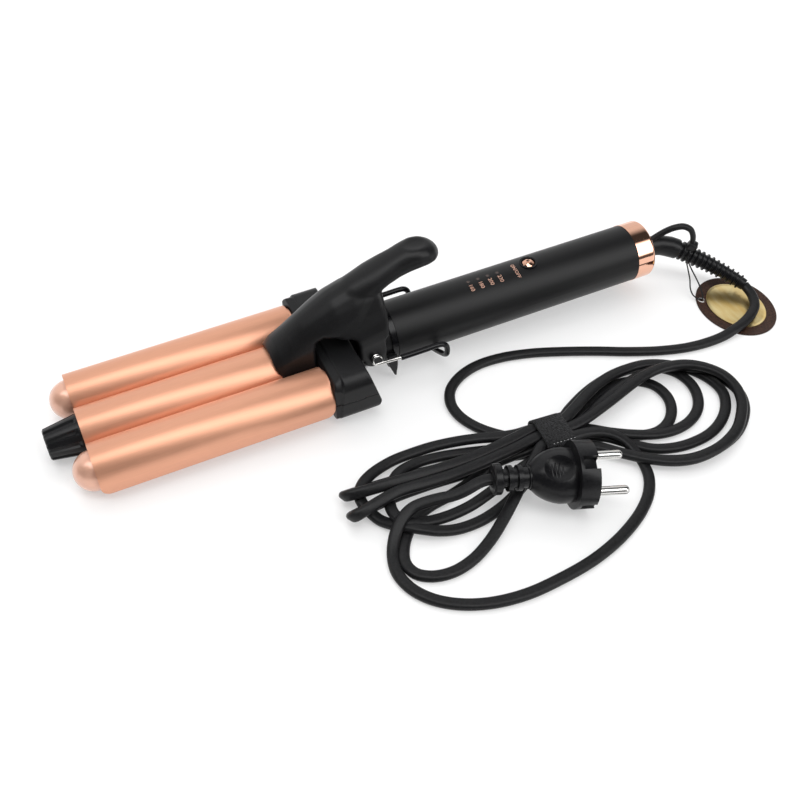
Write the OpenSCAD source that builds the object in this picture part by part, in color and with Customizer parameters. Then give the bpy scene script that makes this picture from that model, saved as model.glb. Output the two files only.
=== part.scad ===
// Triple-barrel hair waver: three heated barrels under a three-lobed clamp plate, a thumb lever,
// a round handle with a power button, a wire stand, and a mains lead tied up in a hank.
// The device is drawn level along X and then laid down, so that it rests on its two outer
// barrel tips and on the bow of its folded stand. The lead lies on the same surface.

/* [Jaw] */
// Length of the clamp plate and of the barrels' working stretch
jaw_len = 127; // [115:1:140]
// Outside diameter of each barrel
barrel_d = 24; // [23:0.5:24.5]
// Distance between neighbouring barrel axes
barrel_pitch = 27.5; // [27:0.5:29]
// Wall of the barrel tubes
barrel_wall = 1.1; // [0.8:0.1:1.5]
// Sheet thickness of the clamp plate
plate_t = 1; // [0.8:0.1:1.2]
// Air gap between a barrel and the closed clamp plate
plate_gap = 1; // [0.8:0.1:1.5]
// How far the plate's outer walls reach below the barrel axes
skirt_drop = 5.5; // [3:0.5:7]
// Length of the cool tip in front of the plate
cool_tip_len = 19; // [15:1:24]

/* [Handle] */
// Outside diameter of the handle
handle_d = 34; // [33:0.5:36]
// Length of the handle shells
handle_len = 157; // [145:1:170]
// Wall of the handle shells
handle_wall = 2.2; // [1.8:0.1:3]
// Length of the metal end ring
ring_len = 12; // [9:1:16]
// Height of the handle axis over the barrel axes
handle_lift = 1.5; // [0.5:0.1:2]

/* [Lever] */
// Half width of the lever over its ears
lever_half_w = 19.5; // [19:0.1:20]
// Diameter of the pivot pin
pin_d = 3; // [2.5:0.5:4]
// Reach of the thumb paddle behind the pivot
paddle_reach = 46.5; // [42:0.5:50]

/* [Button and lamps] */
// Diameter of the power button
button_d = 8; // [6:0.5:9]
// Distance of the power button from the front of the handle
button_from_front = 90; // [80:1:100]
// Distance between two temperature lamps
lamp_step = 6.2; // [5:0.1:8]

/* [Stand] */
// Diameter of the stand's spring wire
wire_d = 1.8; // [1.6:0.1:2]
// Outside diameter of the soft sleeve on the wire
sleeve_d = 3.2; // [2.8:0.1:3.6]
// Reach of the stand behind the pivot
stand_reach = 41; // [36:1:60]

/* [Cord] */
// Width of the flat mains lead
cord_w = 6.2; // [5:0.1:7]
// Thickness of the flat mains lead
cord_t = 4.2; // [3.4:0.1:5]
// Thickness of the tied hank
hank_h = 13.4; // [12:0.2:20]

/* [Hidden] */
$fn = 96;
eps = 0.01;
hull_fn = 32;

// Stations along the device and heights, before it is laid down
handle_r = handle_d / 2;
sleeve_r = sleeve_d / 2;
wire_r = wire_d / 2;
pin_r = pin_d / 2;
barrel_r = barrel_d / 2;
bore_r = barrel_r - barrel_wall;
lobe_in_r = barrel_r + plate_gap;
lobe_r = lobe_in_r + plate_t;
tip_x = -162.5;
plate_end_x = tip_x + jaw_len;
handle_x = 13.5;
ring_x = handle_x + handle_len;
tail_x = ring_x + ring_len;
stand_gap = 0.3;
handle_z = handle_r + stand_gap + sleeve_d;
barrel_z = handle_z - handle_lift;
half_span = barrel_pitch + lobe_r;

// Bracket
lip_front_x = plate_end_x + 0.9;
lip_len = 4.6;
wing_front_x = plate_end_x + 2.9;
wing_top_front_x = wing_front_x + 3.8;
wing_top_rear_x = -14.4;
wing_rear_x = -12;
wing_top = barrel_z + 16;
wing_low = barrel_z - 13;
wing_corner_r = 7.5;
wing_low_r = 6;
socket_end_x = -20;
neck_r = 15.4;
tenon_end_x = handle_x + 15;
tenon_r = handle_r - handle_wall - 0.2;
wire_way_r = 8.5;
sleeve_t = 0.9;

// Lever pivot, which the stand shares
pivot_x = -2.4;
pivot_z = barrel_z + 4.6;
ear_in = 16.3;
ear_r = 6.9;
eye_y = lever_half_w + 0.5 + wire_r;
pin_half = eye_y + wire_r + 0.8;
run_gap = 0.06;

// Stand
bow_x = pivot_x + stand_reach;
leg_y = 26;
leg_z = pivot_z;

// The device is turned about the bow until the outer barrels touch the surface
lie_angle = atan((barrel_z - barrel_r) / (bow_x - tip_x - 1));

// Power button and lamps
button_x = handle_x + button_from_front;
button_r = button_d / 2;
bezel_r = button_r + 1.2;
handle_top = handle_z + handle_r;
first_lamp_x = button_x - 39;
lamp_count = 4;
lamp_r = 1;
board_z = handle_z + 3;
board_t = 1.6;

// The lead: routes over the surface, z is the height of the cord's axis
cord_r = cord_w / 2;
boot_route = [[181.5, 0, 25.3], [190, -0.5, 25], [198, -3, 24], [206, -7.5, 21.5], [213, -12.5, 18],
              [220, -18, 14.8], [226.5, -24.5, 11.6], [232, -31.5, 9], [236, -38.5, 7]];
lead_route = [[236, -38.5, 7], [236.3, -46, 5.2], [233, -53.8, 4.3], [225.5, -60, 3.9], [216, -64.5, 3.8],
              [208.5, -66.6, 3.6], [201, -67.9, 2.6], [190, -68.3, 2.1], [176, -67.2, 2.1], [160, -63.2, 2.1], [142, -56.2, 2.1],
              [124, -47.7, 2.1], [105, -39.7, 2.1], [88, -33.7, 2.1], [71, -30.2, 2.1], [56, -30.2, 2.1],
              [43, -34.2, 2.1], [33, -41.7, 2.1], [28.4, -51.2, 2.1], [28.4, -61.2, 2.1], [32.4, -71.3, 2.1],
              [39, -80, 2.1], [47, -87.2, 2.4]];
tail_route = [[83, -107.7, 10.6], [92, -110.7, 8.8], [98.5, -116.5, 6.2], [101.3, -124.5, 3.6],
              [101.4, -133, 2.3], [99, -141.2, 2.1], [93, -150, 2.1], [85, -157, 2.1], [75, -163.2, 2.1],
              [61, -169.5, 2.1], [44, -174.5, 2.1], [25, -177.3, 2.1], [6, -178.3, 2.1], [-11, -176, 2.1],
              [-25, -170.8, 2.1], [-36, -163, 2.1], [-43, -153.3, 2.1], [-45.5, -142.5, 2.1],
              [-43.3, -132, 2.6], [-38.5, -123.8, 5.6], [-32.5, -118.5, 9], [-25.4, -115.6, 11.2],
              [-17.5, -116.6, 13.4], [-11.5, -118.4, 15], [-6.5, -120.2, 16.3], [-1.8, -121.5, 18],
              [2.6, -122, 19.8], [7.4, -121.9, 21.3], [12, -122.3, 22], [16.5, -123.5, 21.6]];
cord_sides = 10;

// The plug's own frame starts at the middle of its front face, with X along the pins
plug_at = [63.2, -137, 17.8];
plug_turn = [20.6, 4.5, -16.2];
plug_len = 51;
plug_r = 17.6;
plug_pin_r = 2.4;
plug_pin_len = 19;
pin_root_r = 2;
plug_pin_gap = 19;

// Oval tag on the surface
tag_at = [225, -47, 0];
tag_turn = 90;
tag_half = [27, 22.5];
tag_t = 1;
eyelet_at = [12.6, 16.4];

// ---- Helpers -------------------------------------------------------------------------------

// Turns the device about the stand's bow, from its level drawing pose to the way it lies
module lying() {
    translate([bow_x, 0, 0]) rotate([0, -lie_angle, 0]) translate([-bow_x, 0, 0]) children();
}

// Extrudes a profile drawn in the YZ plane along X, from x0 to x1
module along_x(x0, x1) {
    translate([x0, 0, 0]) rotate([90, 0, 90]) linear_extrude(x1 - x0) children();
}

// Extrudes a profile drawn in the XZ plane along Y, from y0 to y1
module along_y(y0, y1) {
    translate([0, y1, 0]) rotate([90, 0, 0]) linear_extrude(y1 - y0) children();
}

// A round rod along X
module rod_x(x0, x1, y, z, r) {
    translate([x0, y, z]) rotate([0, 90, 0]) cylinder(h = x1 - x0, r = r);
}

// A round rod along Y
module rod_y(y0, y1, x, z, r) {
    translate([x, y0, z]) rotate([-90, 0, 0]) cylinder(h = y1 - y0, r = r);
}

// A tube along X
module tube_x(x0, x1, y, z, r_out, r_in) {
    difference() {
        rod_x(x0, x1, y, z, r_out);
        rod_x(x0 - 1, x1 + 1, y, z, r_in);
    }
}

// A rectangle with round corners, of exact arcs
module round_rect(low, high, r) {
    translate([low.x + r, low.y]) square([high.x - low.x - 2 * r, high.y - low.y]);
    translate([low.x, low.y + r]) square([high.x - low.x, high.y - low.y - 2 * r]);
    for (x = [low.x + r, high.x - r], y = [low.y + r, high.y - r]) translate([x, y]) circle(r = r);
}

function unit(v) = v / norm(v);

// A point between p1 and p2 on the smooth curve through four route points
function curve_point(p0, p1, p2, p3, t) =
    0.5 * (2 * p1 + (p2 - p0) * t + (2 * p0 - 5 * p1 + 4 * p2 - p3) * t * t
           + (3 * p1 - p0 - 3 * p2 + p3) * t * t * t);

// A route made smooth, with steps points for each stretch between two of its points
function smooth_route(p, steps) = [
    for (i = [0:len(p) - 2], k = [0:steps - 1])
        curve_point(p[max(i - 1, 0)], p[i], p[i + 1], p[min(i + 2, len(p) - 1)], k / steps),
    p[len(p) - 1]];

// The direction of a route at one of its points
function heading(p, i) = unit(p[min(i + 1, len(p) - 1)] - p[max(i - 1, 0)]);

// The side vector at each point, carried along so that the tube doesn't twist
function side_vectors(p, i = 0, last = undef) =
    let (h = heading(p, i),
         start = abs(h.z) < 0.9 ? cross([0, 0, 1], h) : cross([0, 1, 0], h),
         s = unit(i == 0 ? start : last - h * (last * h)))
    i == len(p) - 1 ? [s] : concat([s], side_vectors(p, i + 1, s));

// A solid swept along a route, with one radius for each of its points and flat times that in height
module swept(p, radii, sides, flat = 1) {
    s = side_vectors(p);
    rings = [for (i = [0:len(p) - 1], k = [0:sides - 1])
        let (a = 360 * k / sides, n = cross(heading(p, i), s[i]))
        p[i] + radii[i] * (cos(a) * s[i] + flat * sin(a) * n)];
    walls = [for (i = [0:len(p) - 2], k = [0:sides - 1])
        let (a = i * sides + k, b = i * sides + (k + 1) % sides)
        [a, a + sides, b + sides, b]];
    front = [for (k = [0:sides - 1]) k];
    back = [for (k = [sides - 1:-1:0]) (len(p) - 1) * sides + k];
    polyhedron(points = rings, faces = concat(walls, [front, back]), convexity = 8);
}

// A rod of one radius along a route
module bent_rod(p, r, sides) {
    swept(p, [for (q = p) r], sides);
}

// A stretch of the flat mains lead along a route
module flat_lead(p) {
    swept(p, [for (q = p) cord_w / 2], cord_sides, cord_t / cord_w);
}

// A skin through cross-sections [x, half width, shoulder z, top z, bottom z], all closed ovals
module loft_x(sections, sides) {
    rings = [for (q = sections, k = [0:sides - 1])
        let (a = 360 * k / sides, reach = sin(a) > 0 ? q[3] - q[2] : q[2] - q[4])
        [q[0], q[1] * cos(a), barrel_z + q[2] + reach * sin(a)]];
    walls = [for (i = [0:len(sections) - 2], k = [0:sides - 1])
        let (a = i * sides + k, b = i * sides + (k + 1) % sides)
        [a, a + sides, b + sides, b]];
    front = [for (k = [0:sides - 1]) k];
    back = [for (k = [sides - 1:-1:0]) (len(sections) - 1) * sides + k];
    polyhedron(points = rings, faces = concat(walls, [front, back]), convexity = 6);
}

// ---- Jaw ------------------------------------------------------------------------------------

module barrel(y) {
    color("#C98A6B") lying() tube_x(tip_x + 1, socket_end_x, y, barrel_z, barrel_r, bore_r);
}

module barrel_near() barrel(-barrel_pitch);
module barrel_middle() barrel(0);
module barrel_far() barrel(barrel_pitch);

// A hollow cap with a round nose, pressed into the tip of an outer barrel
module dome_cap(y) {
    nose_r = bore_r;
    wall = 1.2;
    spigot = 8;
    color("#D39A7E") lying() translate([tip_x, y, barrel_z]) rotate([0, -90, 0]) rotate_extrude()
        difference() {
            union() {
                intersection() {
                    circle(r = nose_r);
                    square([nose_r, nose_r]);
                }
                translate([0, -spigot]) square([nose_r, spigot + eps]);
            }
            intersection() {
                circle(r = nose_r - wall);
                square([nose_r, nose_r]);
            }
            translate([0, -spigot - 1]) square([nose_r - wall, spigot + 1 + eps]);
            mirror([1, 0]) translate([0, -2 * nose_r]) square([nose_r, 4 * nose_r]);
        }
}

module dome_cap_near() dome_cap(-barrel_pitch);
module dome_cap_far() dome_cap(barrel_pitch);

// A tapered grip with lengthwise grooves, plugged into the middle barrel
module cool_tip() {
    base_r = barrel_r - 0.4;
    end_r = 8.4;
    plug = 9;
    groove_count = 10;
    color("#1B1B1C") lying() translate([tip_x + 1, 0, barrel_z]) rotate([0, -90, 0])
        difference() {
            union() {
                rotate_extrude() polygon([[0, -plug], [bore_r, -plug], [bore_r, 0], [base_r, 0],
                    [base_r, 2], [end_r, cool_tip_len], [end_r - 1, cool_tip_len + 1],
                    [0, cool_tip_len + 1]]);
            }
            for (i = [0:groove_count - 1]) rotate([0, 0, 360 * (i + 0.5) / groove_count])
                translate([base_r + 0.1, 0, 4]) rotate([0, -9, 0]) rotate([0, 0, 45])
                    translate([-0.9, -0.9, 0]) cube([1.8, 1.8, cool_tip_len - 8]);
            translate([0, 0, -plug - 1]) cylinder(h = plug + 8, r = bore_r - 2.5);
        }
}

// The three-lobed sheet: half rounds over the barrels, outer walls straight down, open below
module plate_profile() {
    difference() {
        union() {
            for (y = [-barrel_pitch, 0, barrel_pitch]) translate([y, barrel_z]) circle(r = lobe_r);
            for (s = [-1, 1]) translate([s * (half_span - plate_t / 2), barrel_z - skirt_drop / 2])
                square([plate_t, skirt_drop], center = true);
        }
        for (y = [-barrel_pitch, 0, barrel_pitch]) translate([y, barrel_z]) circle(r = lobe_in_r);
        translate([-half_span + plate_t, barrel_z - 2 * lobe_r])
            square([2 * (half_span - plate_t), 2 * lobe_r + 0.8]);
        translate([-half_span - 1, barrel_z - 2 * lobe_r])
            square([2 * half_span + 2, 2 * lobe_r - skirt_drop]);
    }
}

// One outer corner of the plate's skirt, as the piece that is cut away to round it
module skirt_corner(x, sx) {
    r = 5;
    low = barrel_z - skirt_drop;
    difference() {
        translate([x - (sx < 0 ? 1 : r), -half_span - 1, low - 1]) cube([r + 1, 2 * half_span + 2, r + 1]);
        rod_y(-half_span - 2, half_span + 2, x - sx * r, low + r, r);
    }
}

rivet_xs = [-51, -43];
rivet_r = 1.5;

module clamp_plate() {
    color("#CE8F70") lying() difference() {
        along_x(tip_x, plate_end_x) plate_profile();
        skirt_corner(tip_x, -1);
        skirt_corner(plate_end_x, 1);
        for (x = rivet_xs) translate([x, 0, barrel_z]) cylinder(h = lobe_r + 2, r = rivet_r + 0.02);
    }
}

// Two flat-headed rivets that hold the plate's middle lobe to the lever's tongue
module plate_rivets() {
    color("#8E8E90") lying() for (x = rivet_xs) translate([x, 0, barrel_z]) {
        translate([0, 0, lobe_in_r - 0.3]) cylinder(h = 4.3, r = rivet_r);
        translate([0, 0, lobe_in_r - 0.7]) cylinder(h = 0.45, r = 2.2);
    }
}

// A ceramic bar heater held in the barrel by two spreader halves
module heater(y) {
    spread_r = bore_r - 0.1;
    bar = [96, 14, 4];
    x0 = tip_x + 14;
    color("#B9BBBD") lying() translate([0, y, barrel_z]) {
        difference() {
            rod_x(x0, x0 + bar.x + 4, 0, 0, spread_r);
            translate([x0 - 1, -spread_r - 1, -bar.z / 2]) cube([bar.x + 6, 2 * spread_r + 2, bar.z]);
            for (s = [-1, 1]) rod_x(x0 - 1, x0 + bar.x + 6, 0, s * 6.2, 2.2);
        }
        translate([x0 + 2, -bar.y / 2, -bar.z / 2]) cube(bar);
    }
}

module heater_near() heater(-barrel_pitch);
module heater_middle() heater(0);
module heater_far() heater(barrel_pitch);

// A small bimetal cut-out between the spreader halves, at the rear of the middle barrel
module thermostat() {
    color("#D9D2C4") lying() translate([-40, -4, barrel_z - 2]) cube([14, 8, 4]);
}

// ---- Bracket --------------------------------------------------------------------------------

// Glass-filled sleeves between the hot barrels and the bracket
module insulating_sleeves() {
    color("#E7E1D4") lying() for (y = [-barrel_pitch, 0, barrel_pitch])
        tube_x(lip_front_x + lip_len, socket_end_x, y, barrel_z, barrel_r + sleeve_t, barrel_r + 0.02);
}

// The wings' section: a rectangle with wide round corners on top and small ones below
module wing_section(inset = 0) {
    half = half_span - inset;
    top = wing_top - inset * 1.6;
    top_y = half - wing_corner_r;
    low_y = half - wing_low_r;
    translate([-top_y, wing_low]) square([2 * top_y, top - wing_low]);
    translate([-low_y, wing_low]) square([2 * low_y, 14]);
    translate([-half, wing_low + wing_low_r]) square([2 * half, top - wing_corner_r - wing_low - wing_low_r]);
    for (s = [-1, 1]) {
        translate([s * top_y, top - wing_corner_r]) circle(r = wing_corner_r);
        translate([s * low_y, wing_low + wing_low_r]) circle(r = wing_low_r);
    }
}

// Their outline from the side: narrower at the top, round at the lower rear corner
module wing_outline() {
    corner_r = 6.4;
    hull() {
        polygon([[wing_front_x, wing_low], [wing_top_front_x, wing_top], [wing_top_rear_x, wing_top],
                 [-16, wing_low]]);
        translate([-8.4 - corner_r, wing_low + 0.2 + corner_r]) circle(r = corner_r);
    }
}

module wings() {
    difference() {
        intersection() {
            along_x(wing_front_x - 1, -7) wing_section();
            along_y(-half_span - 1, half_span + 1) wing_outline();
        }
        // room for the lever's ears
        translate([wing_rear_x, -20.5, wing_low - 1]) cube([6, 41, 40]);
    }
}

// The drafted lip in front of the wings' crease, sloped on top so that the opening plate clears it
module wing_lip() {
    front_half = half_span - 1.4;
    rear_half = half_span - 0.5;
    intersection() {
        along_x(lip_front_x, -28) wing_section(0.5);
        translate([0, 0, wing_low - 1]) linear_extrude(32) polygon([[lip_front_x, -front_half], [-29, -rear_half],
            [-27, -rear_half], [-27, rear_half], [-29, rear_half], [lip_front_x, front_half]]);
        along_y(-half_span, half_span) polygon([[lip_front_x, wing_low], [lip_front_x, 29.5],
            [lip_front_x + 1.4, 33], [-28, 34.6], [-27, 34.6], [-27, wing_low]]);
    }
}

// The whole bracket before it is parted along the barrel axes
module bracket_body() {
    difference() {
        union() {
            wings();
            wing_lip();
            rod_x(wing_rear_x - 5, handle_x, 0, handle_z, neck_r);
            rod_x(handle_x - 1, tenon_end_x, 0, handle_z, tenon_r);
            fins();
        }
        for (y = [-barrel_pitch, 0, barrel_pitch])
            rod_x(lip_front_x + lip_len, socket_end_x, y, barrel_z, barrel_r + sleeve_t + 0.02);
        for (y = [-barrel_pitch, 0, barrel_pitch])
            rod_x(lip_front_x - 1, lip_front_x + lip_len + 1, y, barrel_z, barrel_r + 0.02);
        translate([socket_end_x - 1, -barrel_pitch - 4, barrel_z - 5])
            cube([5.5, 2 * barrel_pitch + 8, 10]);
        rod_x(socket_end_x + 1, tenon_end_x + 1, 0, handle_z, wire_way_r);
        rod_y(-neck_r - 1, neck_r + 1, pivot_x, pivot_z, pin_r + 0.01);
    }
}

// Two pointed fins beside the neck, below the stand's legs, each on a short web
module fins() {
    top = barrel_z - 0.1;
    for (s = [-1, 1]) {
        along_y(s > 0 ? 16.8 : -19.4, s > 0 ? 19.4 : -16.8)
            polygon([[5.2, top], [11.4, top], [11.4, 12], [10.2, 3.8], [9.3, 3.8], [6.2, 12]]);
        translate([6.2, s > 0 ? 12 : -17, 10]) cube([3.6, 5, top - 10]);
    }
}

screw_spots = [[-17, 35], [-17, -35], [-6.8, 11.5], [-6.8, -11.5]];
screw_r = 1.4;
screw_head_r = 2.6;

function head_floor(p) = p.x < -10 ? wing_low + 0.4 : handle_z - sqrt(neck_r * neck_r - p.y * p.y) + 1;

module screw_holes() {
    for (p = screw_spots) translate([p.x, p.y, head_floor(p)]) {
        translate([0, 0, -8]) cylinder(h = 10, r = screw_head_r + 0.1);
        cylinder(h = barrel_z + 7 - head_floor(p), r = screw_r + 0.02);
    }
}

module bracket_upper() {
    color("#1A1A1B") lying() difference() {
        intersection() {
            bracket_body();
            translate([-100, -60, barrel_z]) cube([200, 120, 60]);
        }
        screw_holes();
    }
}

module bracket_lower() {
    color("#1A1A1B") lying() difference() {
        intersection() {
            bracket_body();
            translate([-100, -60, barrel_z - 60]) cube([200, 120, 60]);
        }
        screw_holes();
        translate([handle_screw_xs[0], 0, 3]) cylinder(h = 9, r = screw_r + 0.02);
    }
}

module bracket_screws() {
    color("#8E8E90") lying() for (p = screw_spots) translate([p.x, p.y, head_floor(p)]) {
        cylinder(h = 2, r = screw_head_r);
        translate([0, 0, 1]) cylinder(h = barrel_z + 5 - head_floor(p), r = screw_r);
    }
}

// The bright-edged ring between the neck and the handle
module front_collar() {
    color("#202021") lying() tube_x(handle_x - 3.5, handle_x, 0, handle_z, neck_r + 1.2, neck_r + 0.02);
}

// ---- Handle ---------------------------------------------------------------------------------

module handle_tube() {
    tube_x(handle_x, ring_x, 0, handle_z, handle_r, handle_r - handle_wall);
}

lamp_xs = [for (i = [0:lamp_count - 1]) first_lamp_x + i * lamp_step];
handle_screw_xs = [handle_x + 9, ring_x - 27];
handle_screw_len = 7.2;

module handle_upper_shell() {
    color("#262627") lying() difference() {
        intersection() {
            handle_tube();
            translate([handle_x - 1, -handle_r - 1, handle_z]) cube([handle_len + 2, handle_d + 2, handle_r + 2]);
        }
        translate([button_x, 0, handle_z]) cylinder(h = handle_r + 2, r = bezel_r + 0.02);
        for (x = lamp_xs) translate([x, 0, handle_z]) cylinder(h = handle_r + 2, r = lamp_r + 0.02);
    }
}

module handle_lower_shell() {
    color("#262627") lying() difference() {
        union() {
            intersection() {
                handle_tube();
                translate([handle_x - 1, -handle_r - 1, handle_z - handle_r - 2])
                    cube([handle_len + 2, handle_d + 2, handle_r + 2]);
            }
            // ribs that carry the board
            for (x = [button_x - 42, button_x + 16], s = [-1, 1])
                translate([x, s * 9 - 1, handle_z - 13]) cube([3, 2, 13 + board_z - handle_z]);
        }
        for (x = handle_screw_xs) {
            translate([x, 0, handle_z - handle_r - 1]) cylinder(h = handle_wall + 4, r = screw_r + 0.02);
            translate([x, 0, handle_z - handle_r - 1]) cylinder(h = 2, r = screw_head_r + 0.1);
        }
    }
}

module handle_screws() {
    color("#8E8E90") lying() for (x = handle_screw_xs) {
        translate([x, 0, handle_z - handle_r + 0.2]) cylinder(h = 0.8, r = screw_head_r);
        translate([x, 0, handle_z - handle_r + 0.2]) cylinder(h = handle_screw_len, r = screw_r);
    }
}

module end_ring() {
    skin = 1.6;
    color("#D7A084") lying() translate([ring_x, 0, handle_z]) rotate([0, 90, 0]) rotate_extrude()
        difference() {
            union() {
                square([handle_r + 0.2, ring_len - 2]);
                square([handle_r - 1.8, ring_len]);
                translate([handle_r - 1.8, ring_len - 2]) circle(r = 2);
                translate([0, -7]) square([handle_r - handle_wall - 0.1, 7 + eps]);
            }
            translate([0, -8]) square([handle_r - handle_wall - skin - 0.1, ring_len + 8 - 2.5]);
            translate([0, ring_len - 3]) square([8.02, 4]);
            mirror([1, 0]) translate([0, -10]) square([30, 40]);
        }
}

// The bush in the ring's rear face that the boot turns in
module end_gland() {
    color("#151515") lying() translate([tail_x, 0, handle_z]) rotate([0, 90, 0]) rotate_extrude()
        difference() {
            union() {
                translate([0, -4]) square([8, 5]);
                translate([0, -4.4]) square([10, 1.9]);
            }
            translate([0, -6]) square([5.9, 8]);
            mirror([1, 0]) translate([0, -10]) square([30, 40]);
        }
}

// Grips the lead inside the handle, so that a pull doesn't reach the board
module cord_clamp() {
    color("#D8D3C8") lying() difference() {
        intersection() {
            translate([ring_x - 31, -9, 0]) cube([8, 18, handle_z + 3]);
            rod_x(ring_x - 32, ring_x - 22, 0, handle_z, handle_r - handle_wall - 0.05);
        }
        rod_x(ring_x - 32, ring_x - 22, 0, handle_z - 2, cord_r);
        translate([handle_screw_xs[1], 0, 3]) cylinder(h = 9, r = screw_r + 0.02);
    }
}

module control_board() {
    color("#2E6B3A") lying() {
        translate([button_x - 52, -10, board_z]) cube([78, 20, board_t]);
        // relay, choke and a capacitor under the board
        translate([button_x - 46, -6, board_z - 9]) cube([16, 12, 9 + eps]);
        translate([button_x - 24, -5, board_z - 7]) cube([10, 10, 7 + eps]);
        translate([button_x + 8, 0, board_z - 8]) cylinder(h = 8 + eps, r = 4);
    }
}

module button_switch() {
    color("#33333A") lying() translate([button_x, 0, board_z + board_t]) {
        translate([-3, -3, 0]) cube([6, 6, 3.4]);
        cylinder(h = 4.3, r = 1.7);
    }
}

// The cap, its flange behind the bezel and the stem that reaches the switch
module power_button() {
    cap_top = handle_top + 1.1;
    color("#D7A084") lying() translate([button_x, 0, 0]) {
        translate([0, 0, handle_top - 4]) cylinder(h = cap_top - handle_top + 4, r = button_r);
        translate([0, 0, handle_top - 4.8]) cylinder(h = 1, r = bezel_r - 0.2);
        translate([0, 0, board_z + board_t + 4.3 + 1]) cylinder(h = 4, r = 1.4);
    }
}

module button_bezel() {
    color("#4A4A4C") lying() translate([button_x, 0, handle_top - 3.4]) difference() {
        cylinder(h = 3.8, r = bezel_r);
        translate([0, 0, -1]) cylinder(h = 6, r = button_r + 0.12);
    }
}

module lamp_lenses() {
    color("#E8E4DC") lying() for (x = lamp_xs) translate([x, 0, board_z + board_t])
        cylinder(h = handle_top + 0.1 - board_z - board_t, r = lamp_r);
}

// The insulated wires from the board through the neck, below the pin, to the barrels
module wiring() {
    wire = 1;
    low = barrel_z - 3;
    x0 = socket_end_x + 2.2;
    color("#B23A2E") lying() {
        for (s = [-1, 1]) bent_rod([[x0, s * 3, low], [20, s * 3, low], [34, s * 3, low],
            [44, s * 3, low + 3], [54, s * 3, board_z - 1.2], [57, s * 3, board_z - 1.2]], wire, 8);
        rod_y(-barrel_pitch, barrel_pitch, x0, low, wire);
    }
}

// ---- Lever ----------------------------------------------------------------------------------

// Tongue over the middle lobe, widening into the saddle that straddles the bracket
tongue_and_saddle = [[-57, 12, 5, 15.1, 4], [-53, 13.7, 5, 16.8, 4], [-46, 13.8, 5.5, 20.3, 4],
    [-38, 15, 7, 27.2, 5], [-28, 18, 10, 33.8, 8], [-20, 19.2, 12, 38.6, 10],
    [-9, lever_half_w, 14, 43, 12], [4.5, lever_half_w, 16, 46.8, 14],
    [6.8, lever_half_w - 0.7, 18, 46, 16.6]];
// Arm and oval paddle
arm_end = pivot_x + paddle_reach;
arm_and_paddle = [[-22, 8, 28, 36, 22], [-8, 10.5, 35, 44.3, 29], [4, 10.5, 42.5, 49.4, 37],
    [12, 9.4, 46.6, 52.2, 41.2], [19, 8.6, 49.4, 54.6, 43.4], [25, 8.8, 51.3, 56.9, 45],
    [31, 9.6, 51.9, 58.1, 45.8], [36, 9.3, 51.7, 57.7, 46.2], [arm_end - 4, 7.6, 51, 56, 46.4],
    [arm_end - 1.3, 4.6, 50.4, 53.8, 47.2], [arm_end, 1.8, 50, 51.4, 48.6]];
saddle_hollow = [[-17, 14.5, 12, 25, -2], [-9.8, 15.9, 14, 35, -2], [8, 15.9, 16, 36, -2]];

module lever() {
    ear_front_x = -11;
    color("#1E1E1F") lying() difference() {
        union() {
            loft_x(tongue_and_saddle, 28);
            loft_x(arm_and_paddle, 24);
            // web under the arm, hollowed to a quarter round
            along_y(-7.5, 7.5) difference() {
                translate([2, barrel_z + 36]) square([9.2, 7]);
                translate([11.2, barrel_z + 37.6]) circle(r = 4.4);
                translate([6.8, barrel_z + 35]) square([5, 2.6]);
            }
            for (s = [-1, 1]) along_y(s > 0 ? ear_in - 1 : 0.25 - lever_half_w,
                                      s > 0 ? lever_half_w - 0.25 : 1 - ear_in) {
                translate([pivot_x, pivot_z]) circle(r = ear_r);
                translate([ear_front_x, pivot_z]) square([pivot_x + ear_r - ear_front_x, 14.4]);
            }
        }
        // side notches over the bracket's wings, cut right through
        along_y(-40, 40) polygon([[-35.4, barrel_z - 40], [-35.4, barrel_z + 14], [-34, barrel_z + 19.5],
            [-29.5, barrel_z + 22.4], [-15.5, barrel_z + 22.4], [-12.2, barrel_z + 20.4],
            [ear_front_x, barrel_z + 16.5], [ear_front_x, barrel_z - 40]]);
        loft_x(saddle_hollow, 28);
        translate([ear_front_x - 1, -ear_in, barrel_z - 20]) cube([22, 2 * ear_in, 35]);
        // the tongue sits on the plate
        for (y = [-barrel_pitch, 0, barrel_pitch]) rod_x(-70, -30, y, barrel_z, lobe_r + 0.02);
        for (x = rivet_xs) translate([x, 0, barrel_z]) cylinder(h = lobe_in_r + 4, r = rivet_r + 0.02);
        rod_y(-30, 30, pivot_x, pivot_z, pin_r + run_gap);
        // thumb dish
        translate([31, 0, barrel_z + 74.6]) scale([1.5, 1, 1]) sphere(r = 18.6);
    }
}

// A torsion spring around the pin that holds the jaw shut
module lever_spring() {
    coil_r = 3.2;
    spring_wire_r = 0.6;
    turns = 4;
    pitch = 1.6;
    coil = [for (i = [0:turns * 10]) [pivot_x + coil_r * cos(36 * i),
        pitch * (turns / 2 - i / 10), pivot_z + coil_r * sin(36 * i)]];
    color("#C9CACC") lying() bent_rod(coil, spring_wire_r, 8);
}

module pivot_pin() {
    color("#D5D6D8") lying() {
        rod_y(-pin_half, pin_half, pivot_x, pivot_z, pin_r);
    }
}

// Pressed caps that keep the stand's eyes on the pin
module pin_clips() {
    color("#D5D6D8") lying() for (s = [-1, 1]) difference() {
        rod_y(s > 0 ? pin_half - 0.6 : -pin_half - 0.4, s > 0 ? pin_half + 0.4 : -pin_half + 0.6,
              pivot_x, pivot_z, 2.6);
        rod_y(-pin_half, pin_half, pivot_x, pivot_z, pin_r);
    }
}

// ---- Stand ----------------------------------------------------------------------------------

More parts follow.
